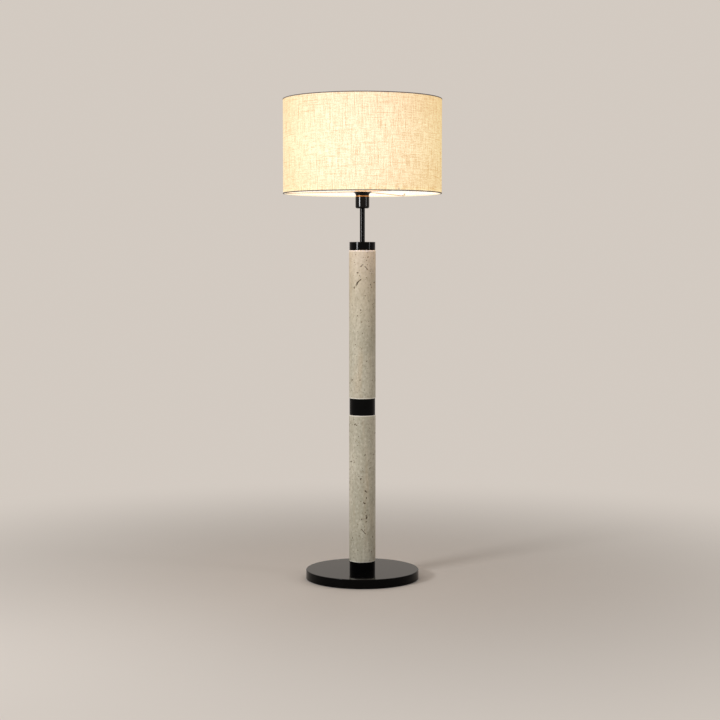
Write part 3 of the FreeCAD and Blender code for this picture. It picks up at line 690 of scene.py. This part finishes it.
stem_radius = 8.0
stem_length = 105.5
stem_bore = 6.2
stem_edge = 0.5
lower_thread = 20.0
upper_thread = 17.0
holder_foot = column_head + stem_length
stem = turned("stem", [
    (rod_hole, column_head),
    (stem_radius, column_head, stem_edge),
    (stem_radius, holder_foot, stem_edge),
    (rod_hole, holder_foot),
    (rod_hole, holder_foot - upper_thread),
    (stem_bore, holder_foot - upper_thread),
    (stem_bore, column_head + lower_thread),
    (rod_hole, column_head + lower_thread),
], segments=128)
fit(stem, enamel, "black_gloss", "stand", "stem_tube")

# ---- Lampholder cup and band ----
# A deep cup with a rounded bottom, moulded and polished black, and closed at the top by a narrow band of
# browned brass. The band's warm brown is partly a painted reflection of the shade's glow at the cup's rim.

cup_radius = 22.0
cup_height = 37.0
cup_corner = 6.0
cup_wall = 2.0
cup_bore = cup_radius - cup_wall
cup_top = holder_foot + cup_height
core_ledge = 1.5
ledge_level = holder_foot + 20.5
cup = turned("lampholder_cup", [
    (rod_hole, holder_foot),
    (cup_radius, holder_foot, cup_corner),
    (cup_radius, cup_top, 0.5),
    (cup_bore, cup_top, 0.3),
    (cup_bore, ledge_level),
    (cup_bore - core_ledge, ledge_level),
    (cup_bore - core_ledge, holder_foot + cup_wall, cup_corner - cup_wall),
    (rod_hole, holder_foot + cup_wall),
], segments=192, steps=10)
polished = grained("polished_moulding", 40.0, 3.0, (0.0012, 0.0012, 0.0014), (0.0024, 0.0023, 0.0023),
                   (0.05, 0.04), ior=1.25)
fit(cup, polished, "black_gloss", "stand", "holder_cup")

brass = Finish("lacquered_brass")
tarnish = brass.noise(90.0, 4.0, 0.6)
turning = brass.noise((40, 40, 4200), 2.0)
brass.surface(
    base_color=tarnish.ease(0.40, 0.75).blend((0.72, 0.44, 0.17), (0.46, 0.24, 0.09)),
    metallic=1.0,
    roughness=0.20 + 0.20 * turning,
    normal=turning.bump(0.02 * mm),
)
dress(brass, "centre_contact", "holder_terminals")

bronze = Finish("browned_brass")
age = bronze.noise(160.0, 4.0, 0.6)
bronze.surface(
    base_color=age.ease(0.38, 0.66).blend((0.36, 0.190, 0.072), (0.23, 0.115, 0.042)),
    metallic=1.0,
    roughness=0.30 + 0.15 * age,
    normal=age.bump(0.02 * mm),
)
band_radius = 21.4
band_height = 3.0
band_top = cup_top + band_height
band = turned("brass_band", [
    (cup_bore, cup_top),
    (band_radius, cup_top, 0.3),
    (band_radius, band_top, 0.3),
    (cup_bore, band_top),
], segments=192, margin=0.2)
fit(band, bronze, "brass", "stand", "holder_band")

# ---- Inside of the lampholder ----
# A glazed porcelain core with a brass screw shell, and a brown and a blue wire that come up through the
# rods.

glaze = grained("glazed_porcelain", 130.0, 3.0, (0.74, 0.72, 0.67), (0.80, 0.785, 0.74), (0.14, 0.14), 0.05)
dress(glaze, "holder_core")
for name, dark, light, wire in (
    ("brown_insulation", (0.060, 0.024, 0.012), (0.095, 0.042, 0.022), "live_wire"),
    ("blue_insulation", (0.012, 0.040, 0.160), (0.022, 0.070, 0.240), "neutral_wire"),
):
    dress(grained(name, (300, 300, 40), 3.0, dark, light, (0.42, 0.16), 0.03), wire)

thread_pitch = 3.629
thread_depth = 0.8
rows_per_turn = 12
thread_columns = 144


def tube(name, outside, inside, level, crease=35.0):
    """A tube from the radii of its two walls, with a row for each level and a column for each bearing."""
    columns = outside.shape[1]
    turn = bearings(columns)
    radius = np.concatenate([outside, inside[::-1]])
    height = np.concatenate([level, level[::-1]]) + 0 * turn
    points = np.stack([radius * np.cos(turn), radius * np.sin(turn), height], -1)
    return solid(name, points.reshape(-1, 3), ring_faces(len(points), columns), crease)


def wound(name, outside, inside, foot, head):
    """A tube whose walls, of the radii outside and inside, both follow the bulb's screw thread."""
    level = np.linspace(foot, head, round((head - foot) / thread_pitch * rows_per_turn) + 1)[:, None]
    turn = bearings(thread_columns)
    wave = 0.5 - 0.5 * np.cos(2 * math.pi * level / thread_pitch - turn)
    ends = np.clip(np.minimum(level - foot, head - level) / (0.5 * thread_pitch), 0, 1)
    sunk = thread_depth * (1 - wave * ends)
    return tube(name, outside - sunk, inside - sunk, level, crease=50.0)


shell_height = 26.0
shell_radius = 14.75
shell_inside = 14.2
sleeve_foot = cup_top - 7.5
sleeve_top = sleeve_foot + 30.0
sleeve_radius = 19.9
sleeve_bore = 16.65
ridge_foot = sleeve_foot + 24.0
ridge_depth = 0.4
ridge_count = 6
shell_top = sleeve_foot + shell_height
screw_shell = wound("socket_screw_shell", shell_radius, shell_inside, sleeve_foot, shell_top)
fit(screw_shell, brass, "brass", "stand", "screw_shell")
sleeve = turned("threaded_sleeve", [
    (sleeve_bore, sleeve_foot),
    (sleeve_radius, sleeve_foot),
    *[(sleeve_radius - ridge_depth * (step % 2), ridge_foot + step) for step in range(ridge_count)],
    (sleeve_radius - ridge_depth, sleeve_top, 0.2),
    (sleeve_bore, sleeve_top, 0.4),
], segments=192, margin=0.15)
fit(sleeve, nylon, "holder_black", "stand", "holder_sleeve")

# ---- Flange under the shade ----
# A black turned ring that flares from the lampholder's width to a thin rim, on which the shade's gallery
# sits.

flange_top = band_top + 12.0
flare_waist = (23.2, band_top + 6.96)
flare_rim = (29.3, flange_top - 1.2)


def bow(first, middle, last, steps=14):
    """Points on the arc through three points."""
    (ax, ay), (bx, by), (cx, cy) = first, middle, last
    d = 2 * (ax * (by - cy) + bx * (cy - ay) + cx * (ay - by))
    ux = ((ax**2 + ay**2) * (by - cy) + (bx**2 + by**2) * (cy - ay) + (cx**2 + cy**2) * (ay - by)) / d
    uy = ((ax**2 + ay**2) * (cx - bx) + (bx**2 + by**2) * (ax - cx) + (cx**2 + cy**2) * (bx - ax)) / d
    radius = math.hypot(ax - ux, ay - uy)
    start = math.atan2(ay - uy, ax - ux)
    half_way = (math.atan2(by - uy, bx - ux) - start) % (2 * math.pi)
    sweep = (math.atan2(cy - uy, cx - ux) - start) % (2 * math.pi)
    if half_way > sweep:
        sweep -= 2 * math.pi
    turns = [start + sweep * step / steps for step in range(steps + 1)]
    return [(ux + radius * math.cos(turn), uy + radius * math.sin(turn)) for turn in turns]


flange = turned("flared_flange", [
    (cup_bore, band_top),
    *bow((band_radius, band_top), flare_waist, flare_rim),
    (flare_rim[0], flange_top, 0.35),
    (cup_bore, flange_top),
], segments=192, margin=0.25)
fit(flange, polished, "black_gloss", "stand", "shade_flange")

# ---- Clamp ring ----
# A white nylon ring that screws down on the sleeve and clamps the shade's gallery. Its edge is fluted for
# the fingers, and its lip keeps the steel washer.

white_nylon = grained("white_nylon", 500.0, 3.0, (0.46, 0.45, 0.43), (0.54, 0.53, 0.50), (0.38, 0.14), 0.03)
gallery_thickness = 1.5
gallery_top = flange_top + gallery_thickness
ring_foot = gallery_top + 0.6
ring_top = ring_foot + 4.0
ring_radius = 23.0
ring_bore = 20.2
lip_radius = 21.0
lip_foot = gallery_top + 0.1
grip_count = 24
grip_depth = 0.38
grip_reach = 0.7
grip_fade = 0.5
grip_sharpness = 8
ring = turned("clamp_nut", [
    (ring_bore, lip_foot, 0.2),
    (lip_radius, lip_foot),
    (lip_radius, ring_foot),
    (ring_radius, ring_foot, 0.2),
    (ring_radius, ring_top, 0.6),
    (ring_bore, ring_top, 0.3),
], segments=480, margin=0.2)
for vertex in ring.data.vertices:
    out = math.hypot(vertex.co.x, vertex.co.y) / mm
    past = out - (ring_radius - grip_reach)
    if past > 0 and vertex.co.z > (ring_foot - 0.1) * mm:
        wave = math.cos(grip_count * math.atan2(vertex.co.y, vertex.co.x)) * 0.5 + 0.5
        inward = 1 - grip_depth * wave**grip_sharpness * min(1.0, past / grip_fade) / out
        vertex.co.x *= inward
        vertex.co.y *= inward
fit(ring, white_nylon, "white_nylon", "clamp_ring", "clamp_ring")

# ---- Shade frame ----
# A flat gallery ring, three wire arms welded to its edge, three bent clips at their ends, and the two wire
# hoops that the drum is wrapped on. All of it is cream-enamelled steel.

cream_enamel = grained("cream_enamel", 240.0, 3.0, (0.52, 0.48, 0.42), (0.60, 0.56, 0.50),
                       (0.30, 0.15), 0.05)
gallery_radius = 29.7
gallery_bore = 20.5
gallery = turned("gallery", [
    (gallery_bore, flange_top, 0.3),
    (gallery_radius, flange_top, 0.4),
    (gallery_radius, gallery_top, 0.4),
    (gallery_bore, gallery_top, 0.3),
], segments=192, margin=0.25)
fit(gallery, cream_enamel, "wire_frame", "shade", "gallery_ring")

shade_foot = flange_top - 6.0
shade_top = shade_foot + 296.0
hoop_radius = 246.8
hoop_wire = 1.5
hoop_inset = 2.6
weld_swell = 0.12
weld_width = 2.0
arm_bearings = (56.0, 176.0, 296.0)


def rod(points, radii, sides=20):
    """A round bar along points in the plane of one arm, with its own radius at each, and closed ends."""
    rings = []
    for k, (point, radius) in enumerate(zip(points, radii)):
        run = np.subtract(points[min(k + 1, len(points) - 1)], points[max(k - 1, 0)])
        run = run / np.linalg.norm(run)
        up = np.array([-run[1], run[0]])
        for side in range(sides):
            turn = 2 * math.pi * side / sides
            out, height = np.array(point) + up * radius * math.sin(turn)
            rings.append((out, radius * math.cos(turn), height))
    faces = ring_faces(len(points), sides, closed=False)
    last = (len(points) - 1) * sides
    faces += [tuple(range(sides))[::-1], tuple(range(last, last + sides))]
    return rings, faces


def around(parts):
    """Copies of a part at the three arms."""
    vertices, faces = parts
    all_vertices = []
    all_faces = []
    for bearing in arm_bearings:
        cosine = math.cos(math.radians(bearing))
        sine = math.sin(math.radians(bearing))
        start = len(all_vertices)
        all_vertices += [(x * cosine - y * sine, x * sine + y * cosine, z) for x, y, z in vertices]
        all_faces += [tuple(start + k for k in face) for face in faces]
    return all_vertices, all_faces


arm_root = np.array([gallery_radius - 0.8, flange_top + gallery_thickness / 2])
arm_tip = np.array([hoop_radius - 1.7, shade_foot + hoop_inset - 0.18])
along_arm = [0, 0.004, 0.010, 0.016, 0.025, 0.1, 0.25, 0.5, 0.75, 0.9, 0.978, 0.986, 0.993, 0.998, 1.0]
arm_radius = [0.9, 1.5, 1.95, 1.85, 1.6, 1.6, 1.6, 1.6, 1.6, 1.6, 1.6, 1.6, 1.55, 1.4, 0.9]
arm_line = [arm_root + (arm_tip - arm_root) * share for share in along_arm]
arms = solid("three_arms", *around(rod(arm_line, arm_radius)))
fit(arms, cream_enamel, "wire_frame", "shade", "spider_arms")

clip_outside = 248.0
clip_length = 10.0
clip_half = 3.0
clip_steel = 1.0
clip_foot = shade_foot + 4.2
clip_head = clip_foot + 6.0
clip_outline = softened([
    (clip_outside - clip_length, clip_foot, 0.3),
    (clip_outside, clip_foot, 1.6),
    (clip_outside, clip_head, 0.4),
    (clip_outside - clip_steel, clip_head, 0.4),
    (clip_outside - clip_steel, clip_foot + clip_steel, 0.6),
    (clip_outside - clip_length, clip_foot + clip_steel, 0.3),
], steps=4)
clip_count = len(clip_outline)
clip_points = [(r, side * clip_half, h) for side in (-1, 1) for r, h in clip_outline]
clip_faces = ring_faces(2, clip_count, closed=False)
clip_faces += [tuple(range(clip_count))[::-1], tuple(range(clip_count, 2 * clip_count))]
clips = solid("three_clips", *around((clip_points, clip_faces)))
rounding = clips.modifiers.new("softened_edges", "BEVEL")
rounding.width = 0.2 * mm
rounding.segments = 2
rounding.limit_method = "ANGLE"
rounding.angle_limit = math.radians(50)
fit(clips, cream_enamel, "wire_frame", "shade", "arm_clips")


def hoop(name, node, height):
    """One hoop, with the small overlap bead of its butt weld at the back."""
    steps = 24
    circle = [(hoop_radius + hoop_wire * math.cos(2 * math.pi * s / steps),
               height + hoop_wire * math.sin(2 * math.pi * s / steps)) for s in range(steps)]
    made = turned(name, circle, segments=360, margin=5.0)
    for vertex in made.data.vertices:
        off = math.atan2(vertex.co.x, vertex.co.y) * hoop_radius
        swell = 1 + weld_swell * math.exp(-(off / weld_width) ** 2)
        out = math.hypot(vertex.co.x, vertex.co.y)
        vertex.co.z = height * mm + (vertex.co.z - height * mm) * swell
        grown = (hoop_radius * mm + (out - hoop_radius * mm) * swell) / out
        vertex.co.x *= grown
        vertex.co.y *= grown
    return fit(made, cream_enamel, "wire_frame", "shade", node)


hoop("lower_hoop", "bottom_hoop", shade_foot + hoop_inset)
hoop("upper_hoop", "top_hoop", shade_top - hoop_inset)

# ---- Liner ----
# A stiff film of white styrene that the linen is glued to. Lit by the bulb, it is the bright white inside of
# the shade, brightest level with the globe.

cloth_inset = 0.7
cloth_foot = shade_foot + cloth_inset
cloth_head = shade_top - cloth_inset
liner_radius = 248.9
liner_inside = 248.4

film = Finish("styrene_liner")
film_z = film.place().axes()[2]
film_grain = film.noise(260.0, 3.0)
film_glow = film.node("ValToRGB", {"stops": [
    (0.0, (0.44, 0.425, 0.41)),
    (0.25, (0.50, 0.485, 0.465)),
    (0.45, (0.50, 0.475, 0.445)),
    (1.0, (0.40, 0.37, 0.32)),
]}, {"Fac": (film_z - shade_foot * mm) / ((shade_top - shade_foot) * mm)}, "Color")
film.surface(
    base_color=film_grain.blend((0.76, 0.75, 0.72), (0.80, 0.79, 0.76)),
    roughness=0.50 + 0.12 * film_grain,
    emission_color=film_glow,
    emission_strength=1.0,
    normal=film_grain.bump(0.04 * mm),
)
liner = turned("styrene_liner", [
    (liner_inside, cloth_foot),
    (liner_radius, cloth_foot),
    (liner_radius, cloth_head),
    (liner_inside, cloth_head),
], segments=384, margin=4.0)
fit(liner, film, "liner", "shade", "shade_liner")

# ---- Linen drum ----
# Natural linen in a plain weave, glued round the liner with its joint at the back. Thick and thin yarns run
# both ways and stand out dark where the bulb shines through them. The glow is painted light from the bulb,
# with small painted shadows where the three clips stand behind the cloth.

drum_radius = 250.0
drum_height = cloth_head - cloth_foot
linen = Finish("natural_linen")
cloth_x, cloth_y, cloth_z = linen.place().axes()
round_cloth = cloth_x.math("ARCTAN2", cloth_x, cloth_y * -1.0) * (drum_radius * mm)
up_cloth = cloth_z - cloth_foot * mm


def yarns(across, up, detail=2.0, roughness=0.55, shift=0.0):
    """Noise drawn out along one set of yarns, with so many to the metre each way."""
    cloth = linen.point(round_cloth * across + shift, up_cloth * up + shift)
    return linen.noise(1.0, detail, roughness, cloth)


weft = yarns(34, 270, 3.0)
warp = yarns(290, 26, 3.0, shift=7.3)
long_weft = yarns(9, 230, 2.0, shift=3.1).ease(0.57, 0.68)
long_warp = yarns(250, 8, 2.0, shift=11.7).ease(0.56, 0.67)
patch = yarns(16, 16, 3.0, shift=5.0)
fine = yarns(300, 240, 2.0, 0.7, shift=1.9)
thick = (weft * 0.27 + warp * 0.35 + fine * 0.44).ease(0.43, 0.63)
thick = thick * 0.74 + long_weft * 0.38 + long_warp * 0.44 + (patch - 0.5) * 0.08

shadow_half = 3.2
shadow_rise = 3.4
shadow_level = 6.0
shadow = None
for bearing in arm_bearings:
    turn = math.radians(bearing)
    clip_place = math.atan2(math.cos(turn), -math.sin(turn)) * drum_radius * mm
    around_clip = (round_cloth - clip_place) / (shadow_half * mm)
    above_clip = (up_cloth - shadow_level * mm) / (shadow_rise * mm)
    mark = 1.0 - (around_clip * around_clip + above_clip * above_clip).ease(0.3, 1.3)
    shadow = mark if shadow is None else shadow + mark

height_share = up_cloth / (drum_height * mm)
shine = linen.node("ValToRGB", {"stops": [
    (0.0, (0.70, 0.52, 0.205)),
    (0.012, (0.86, 0.71, 0.33)),
    (0.05, (0.77, 0.60, 0.27)),
    (0.42, (0.79, 0.64, 0.30)),
    (0.72, (0.77, 0.61, 0.27)),
    (1.0, (0.74, 0.54, 0.205)),
]}, {"Fac": height_share}, "Color")
yarn_shade = thick.blend((1.0, 1.0, 1.0), (0.68, 0.45, 0.17))
lit_cloth = linen.node("Mix", {"data_type": "RGBA", "blend_type": "MULTIPLY"},
                       {"Factor_Float": 1.0, "A_Color": shine, "B_Color": yarn_shade}, "Result_Color")
weave = yarns(1300, 420, 2.0, shift=21.0) * 0.5 + yarns(420, 1300, 2.0, shift=33.0) * 0.5
linen.surface(
    base_color=thick.blend((0.40, 0.37, 0.30), (0.30, 0.26, 0.18)),
    roughness=0.86 + 0.10 * weave,
    specular_ior_level=0.15,
    sheen_weight=0.12,
    sheen_roughness=0.5,
    emission_color=(shadow * 0.55).blend(lit_cloth, (0.10, 0.06, 0.03)),
    emission_strength=1.0,
    normal=(weave * 0.5 + thick * 0.5).bump(0.25 * mm),
)

# The drum isn't quite true: its wall draws in by up to the slack, in a few soft lobes.
cloth_thickness = 1.0
cloth_slack = 0.25
cloth_rows = 48
cloth_columns = 480
chance = np.random.RandomState(5)
turn = bearings(cloth_columns)
share = np.linspace(0, 1, cloth_rows)[:, None]
swell = np.zeros((cloth_rows, cloth_columns))
for lobes, rise in ((2, 0.5), (3, 1.0), (5, 1.5), (9, 2.5), (14, 3.0)):
    swell += chance.uniform(0.3, 1) * np.cos(lobes * turn + chance.uniform(0, 6) + rise * share * 2)
swell *= cloth_slack / np.abs(swell).max() * np.sin(math.pi * share)
outside = drum_radius + np.minimum(swell, 0)
inside = drum_radius - cloth_thickness + 0 * swell
drum = tube("linen_drum", outside, inside, cloth_foot + (cloth_head - cloth_foot) * share)
fit(drum, linen, "linen", "shade", "shade_fabric")

# ---- Joint strip ----
# A narrow strip of the same linen, glued over the joint at the back of the drum, with both long edges
# pressed flat. Its glow is painted light: the bulb's light showing through it.

strip = Finish("joint_strip")
strip_warp = strip.noise((700, 700, 30), 3.0)
strip_weft = strip.noise((60, 60, 700), 3.0)
strip_yarn = strip_warp * 0.5 + strip_weft * 0.5
strip_light = strip_yarn.ease(0.42, 0.58)
strip.surface(
    base_color=strip_light.blend((0.36, 0.31, 0.21), (0.44, 0.39, 0.27)),
    roughness=0.88,
    specular_ior_level=0.15,
    emission_color=strip_light.blend((0.50, 0.315, 0.115), (0.74, 0.525, 0.210)),
    emission_strength=1.0,
    normal=strip_yarn.bump(0.25 * mm),
)
strip_half = 7.0
strip_inside = 250.1
strip_outside = 250.4
pressed_edge = 0.5
edge_press = 0.22
strip_gap = 3.4
strip_rows = 90
strip_columns = 12
offsets = np.linspace(-strip_half, strip_half, strip_columns + 1)
pressed = edge_press * (abs(offsets) > strip_half - pressed_edge)
across = np.concatenate([offsets, offsets[::-1]])
radii = np.concatenate([0 * offsets + strip_inside, (strip_outside - pressed)[::-1]])
levels = np.linspace(shade_foot + strip_gap, shade_top - strip_gap, strip_rows + 1)
strip_points = [(x, math.sqrt(out**2 - x**2), level) for level in levels for x, out in zip(across, radii)]
strip_faces = ring_faces(strip_rows + 1, len(across), closed=False)
for first, flip in ((0, -1), (strip_rows * len(across), 1)):
    last = first + len(across) - 1
    for k in range(strip_columns):
        strip_faces.append((first + k, first + k + 1, last - k - 1, last - k)[::flip])
seam = solid("linen_joint_strip", strip_points, strip_faces)
fit(seam, strip, "seam_tape", "shade", "shade_seam")

# ---- Edge tapes ----
# Dark grey-brown woven tape, folded over each edge of the drum and glued round its hoop. Inside the shade
# the bulb lights it up.

tape = Finish("edge_tape")
tape_x, tape_y, tape_z = tape.place().axes()
tape_round = tape_x.math("ARCTAN2", tape_x, tape_y * -1.0) * (drum_radius * mm)
rib = tape.noise(1.0, spot=tape.point(tape_round * 900.0, tape_z * 200.0))
tape_inside = 1.0 - ((tape_x * tape_x + tape_y * tape_y) ** 0.5).ease(0.2455, 0.2475)
tape.surface(
    base_color=rib.ease(0.32, 0.68).blend((0.085, 0.066, 0.050), (0.155, 0.126, 0.100)),
    emission_color=tape_inside.blend((0.0, 0.0, 0.0), (0.95, 0.84, 0.62)),
    emission_strength=1.0,
    roughness=0.78,
    specular_ior_level=0.3,
    sheen_weight=0.15,
    normal=rib.bump(0.2 * mm),
)
tape_thickness = 0.6
outer_leg = (250.7, 3.0)
inner_leg = (244.6, 4.1)


def edge_tape(name, node, edge, up):
    """Tape round one edge. up is 1 at the lower edge and -1 at the upper one."""
    section = [
        (outer_leg[0], 0.0, 0.55),
        (outer_leg[0], outer_leg[1], 0.25),
        (outer_leg[0] - tape_thickness, outer_leg[1], 0.1),
        (outer_leg[0] - tape_thickness, tape_thickness),
        (inner_leg[0] + tape_thickness, tape_thickness),
        (inner_leg[0] + tape_thickness, inner_leg[1], 0.1),
        (inner_leg[0], inner_leg[1], 0.25),
        (inner_leg[0], 0.0, 0.55),
    ]
    made = turned(name, [(corner[0], edge + up * corner[1], *corner[2:]) for corner in section],
                  segments=480, steps=4, margin=0.3)
    return fit(made, tape, "tape", "shade", node)


lower_tape = edge_tape("lower_edge_tape", "bottom_trim", shade_foot, 1)
upper_tape = edge_tape("upper_edge_tape", "top_trim", shade_top, -1)

# ---- Bulb ----
# An LED bulb: an aluminium screw cap with a black glass insulator and a soldered tip, a white housing, a
# board of yellow emitters and an opal globe.

cap_metal = grained("cap_aluminium", (60, 60, 900), 3.0, (0.55, 0.55, 0.56), (0.70, 0.70, 0.70),
                    (0.24, 0.20), 0.02, metallic=1.0)
bulb_foot = sleeve_top + 0.5
cap_height = 22.5
cap_radius = 13.1
cap_inside = 12.1
cap = wound("bulb_screw_cap", cap_radius, cap_inside, bulb_foot - cap_height, bulb_foot)
fit(cap, cap_metal, "cap_metal", "bulb", "bulb_shell")

black_glass = grained("black_glass", 200.0, 2.0, (0.006, 0.006, 0.009), (0.018, 0.017, 0.022), (0.08, 0.08))
dress(black_glass, "bulb_insulator")
solder = grained("solder", 700.0, 4.0, (0.42, 0.42, 0.43), (0.62, 0.62, 0.61),
                 (0.30, 0.25), 0.08, metallic=1.0)
dress(solder, "bulb_tip")

globe_radius = 30.0
globe_wall = 1.2
globe_middle = bulb_foot + 53.0
housing_top = bulb_foot + 38.0
housing_middle = (bulb_foot + housing_top) / 2
housing_wall = 2.0
foot_radius = 14.0
foot_bore = 11.3
rim_radius = math.sqrt(globe_radius**2 - (globe_middle - housing_top)**2)
waist_radius = (foot_radius + rim_radius) / 2 - 1.2
inner_waist = (waist_radius - housing_wall, housing_middle)
inner_rim = (rim_radius - housing_wall, housing_top - 0.2)
housing = turned("bulb_base_housing", [
    (foot_bore, bulb_foot),
    (foot_radius, bulb_foot),
    *bow((foot_radius, bulb_foot + 0.2), (waist_radius, housing_middle), (rim_radius, housing_top)),
    (rim_radius - housing_wall, housing_top),
    *bow(inner_rim, inner_waist, (foot_radius - 1.0, bulb_foot + housing_wall)),
    (foot_bore, bulb_foot + housing_wall),
], segments=144, margin=0.3)
fit(housing, moulding, "white_plastic", "bulb", "bulb_housing")

mask = Finish("board_mask")
tracks = mask.noise(350.0, 2.0)
mask.surface(
    base_color=tracks.ease(0.48, 0.52).blend((0.70, 0.70, 0.68), (0.78, 0.78, 0.76)),
    roughness=0.35 + 0.10 * tracks,
)
dress(mask, "led_board")

phosphor = Finish("phosphor")
gel = phosphor.noise(900.0, 2.0)
phosphor.surface(
    base_color=gel.blend((0.78, 0.55, 0.10), (0.84, 0.64, 0.16)),
    roughness=0.30 + 0.10 * gel,
    emission_color=gel.blend((1.0, 0.80, 0.50), (1.0, 0.86, 0.60)),
    emission_strength=6.0,
)
dress(phosphor, "led_chips")

opal = Finish("opal_globe")
opal_z = opal.place().axes()[2]
frost = opal.noise(120.0, 2.0)
opal.surface(
    base_color=frost.blend((0.80, 0.78, 0.73), (0.84, 0.82, 0.77)),
    roughness=0.28 + 0.10 * frost,
    emission_color=opal_z.ease(1.276, 1.300).blend((1.0, 0.76, 0.50), (1.0, 0.86, 0.64)),
    emission_strength=4.0,
)
inner_radius = globe_radius - globe_wall
inner_mouth = math.sqrt(inner_radius**2 - (globe_middle - housing_top)**2)
outer_top = (0.0, globe_middle + globe_radius)
inner_top = (0.0, globe_middle + inner_radius)
globe = turned("opal_globe", [
    *bow((rim_radius, housing_top), (globe_radius, globe_middle), outer_top, steps=32),
    *bow(inner_top, (inner_radius, globe_middle), (inner_mouth, housing_top), steps=32),
], segments=128, margin=4.0)
fit(globe, opal, "opal", "bulb", "bulb_globe")
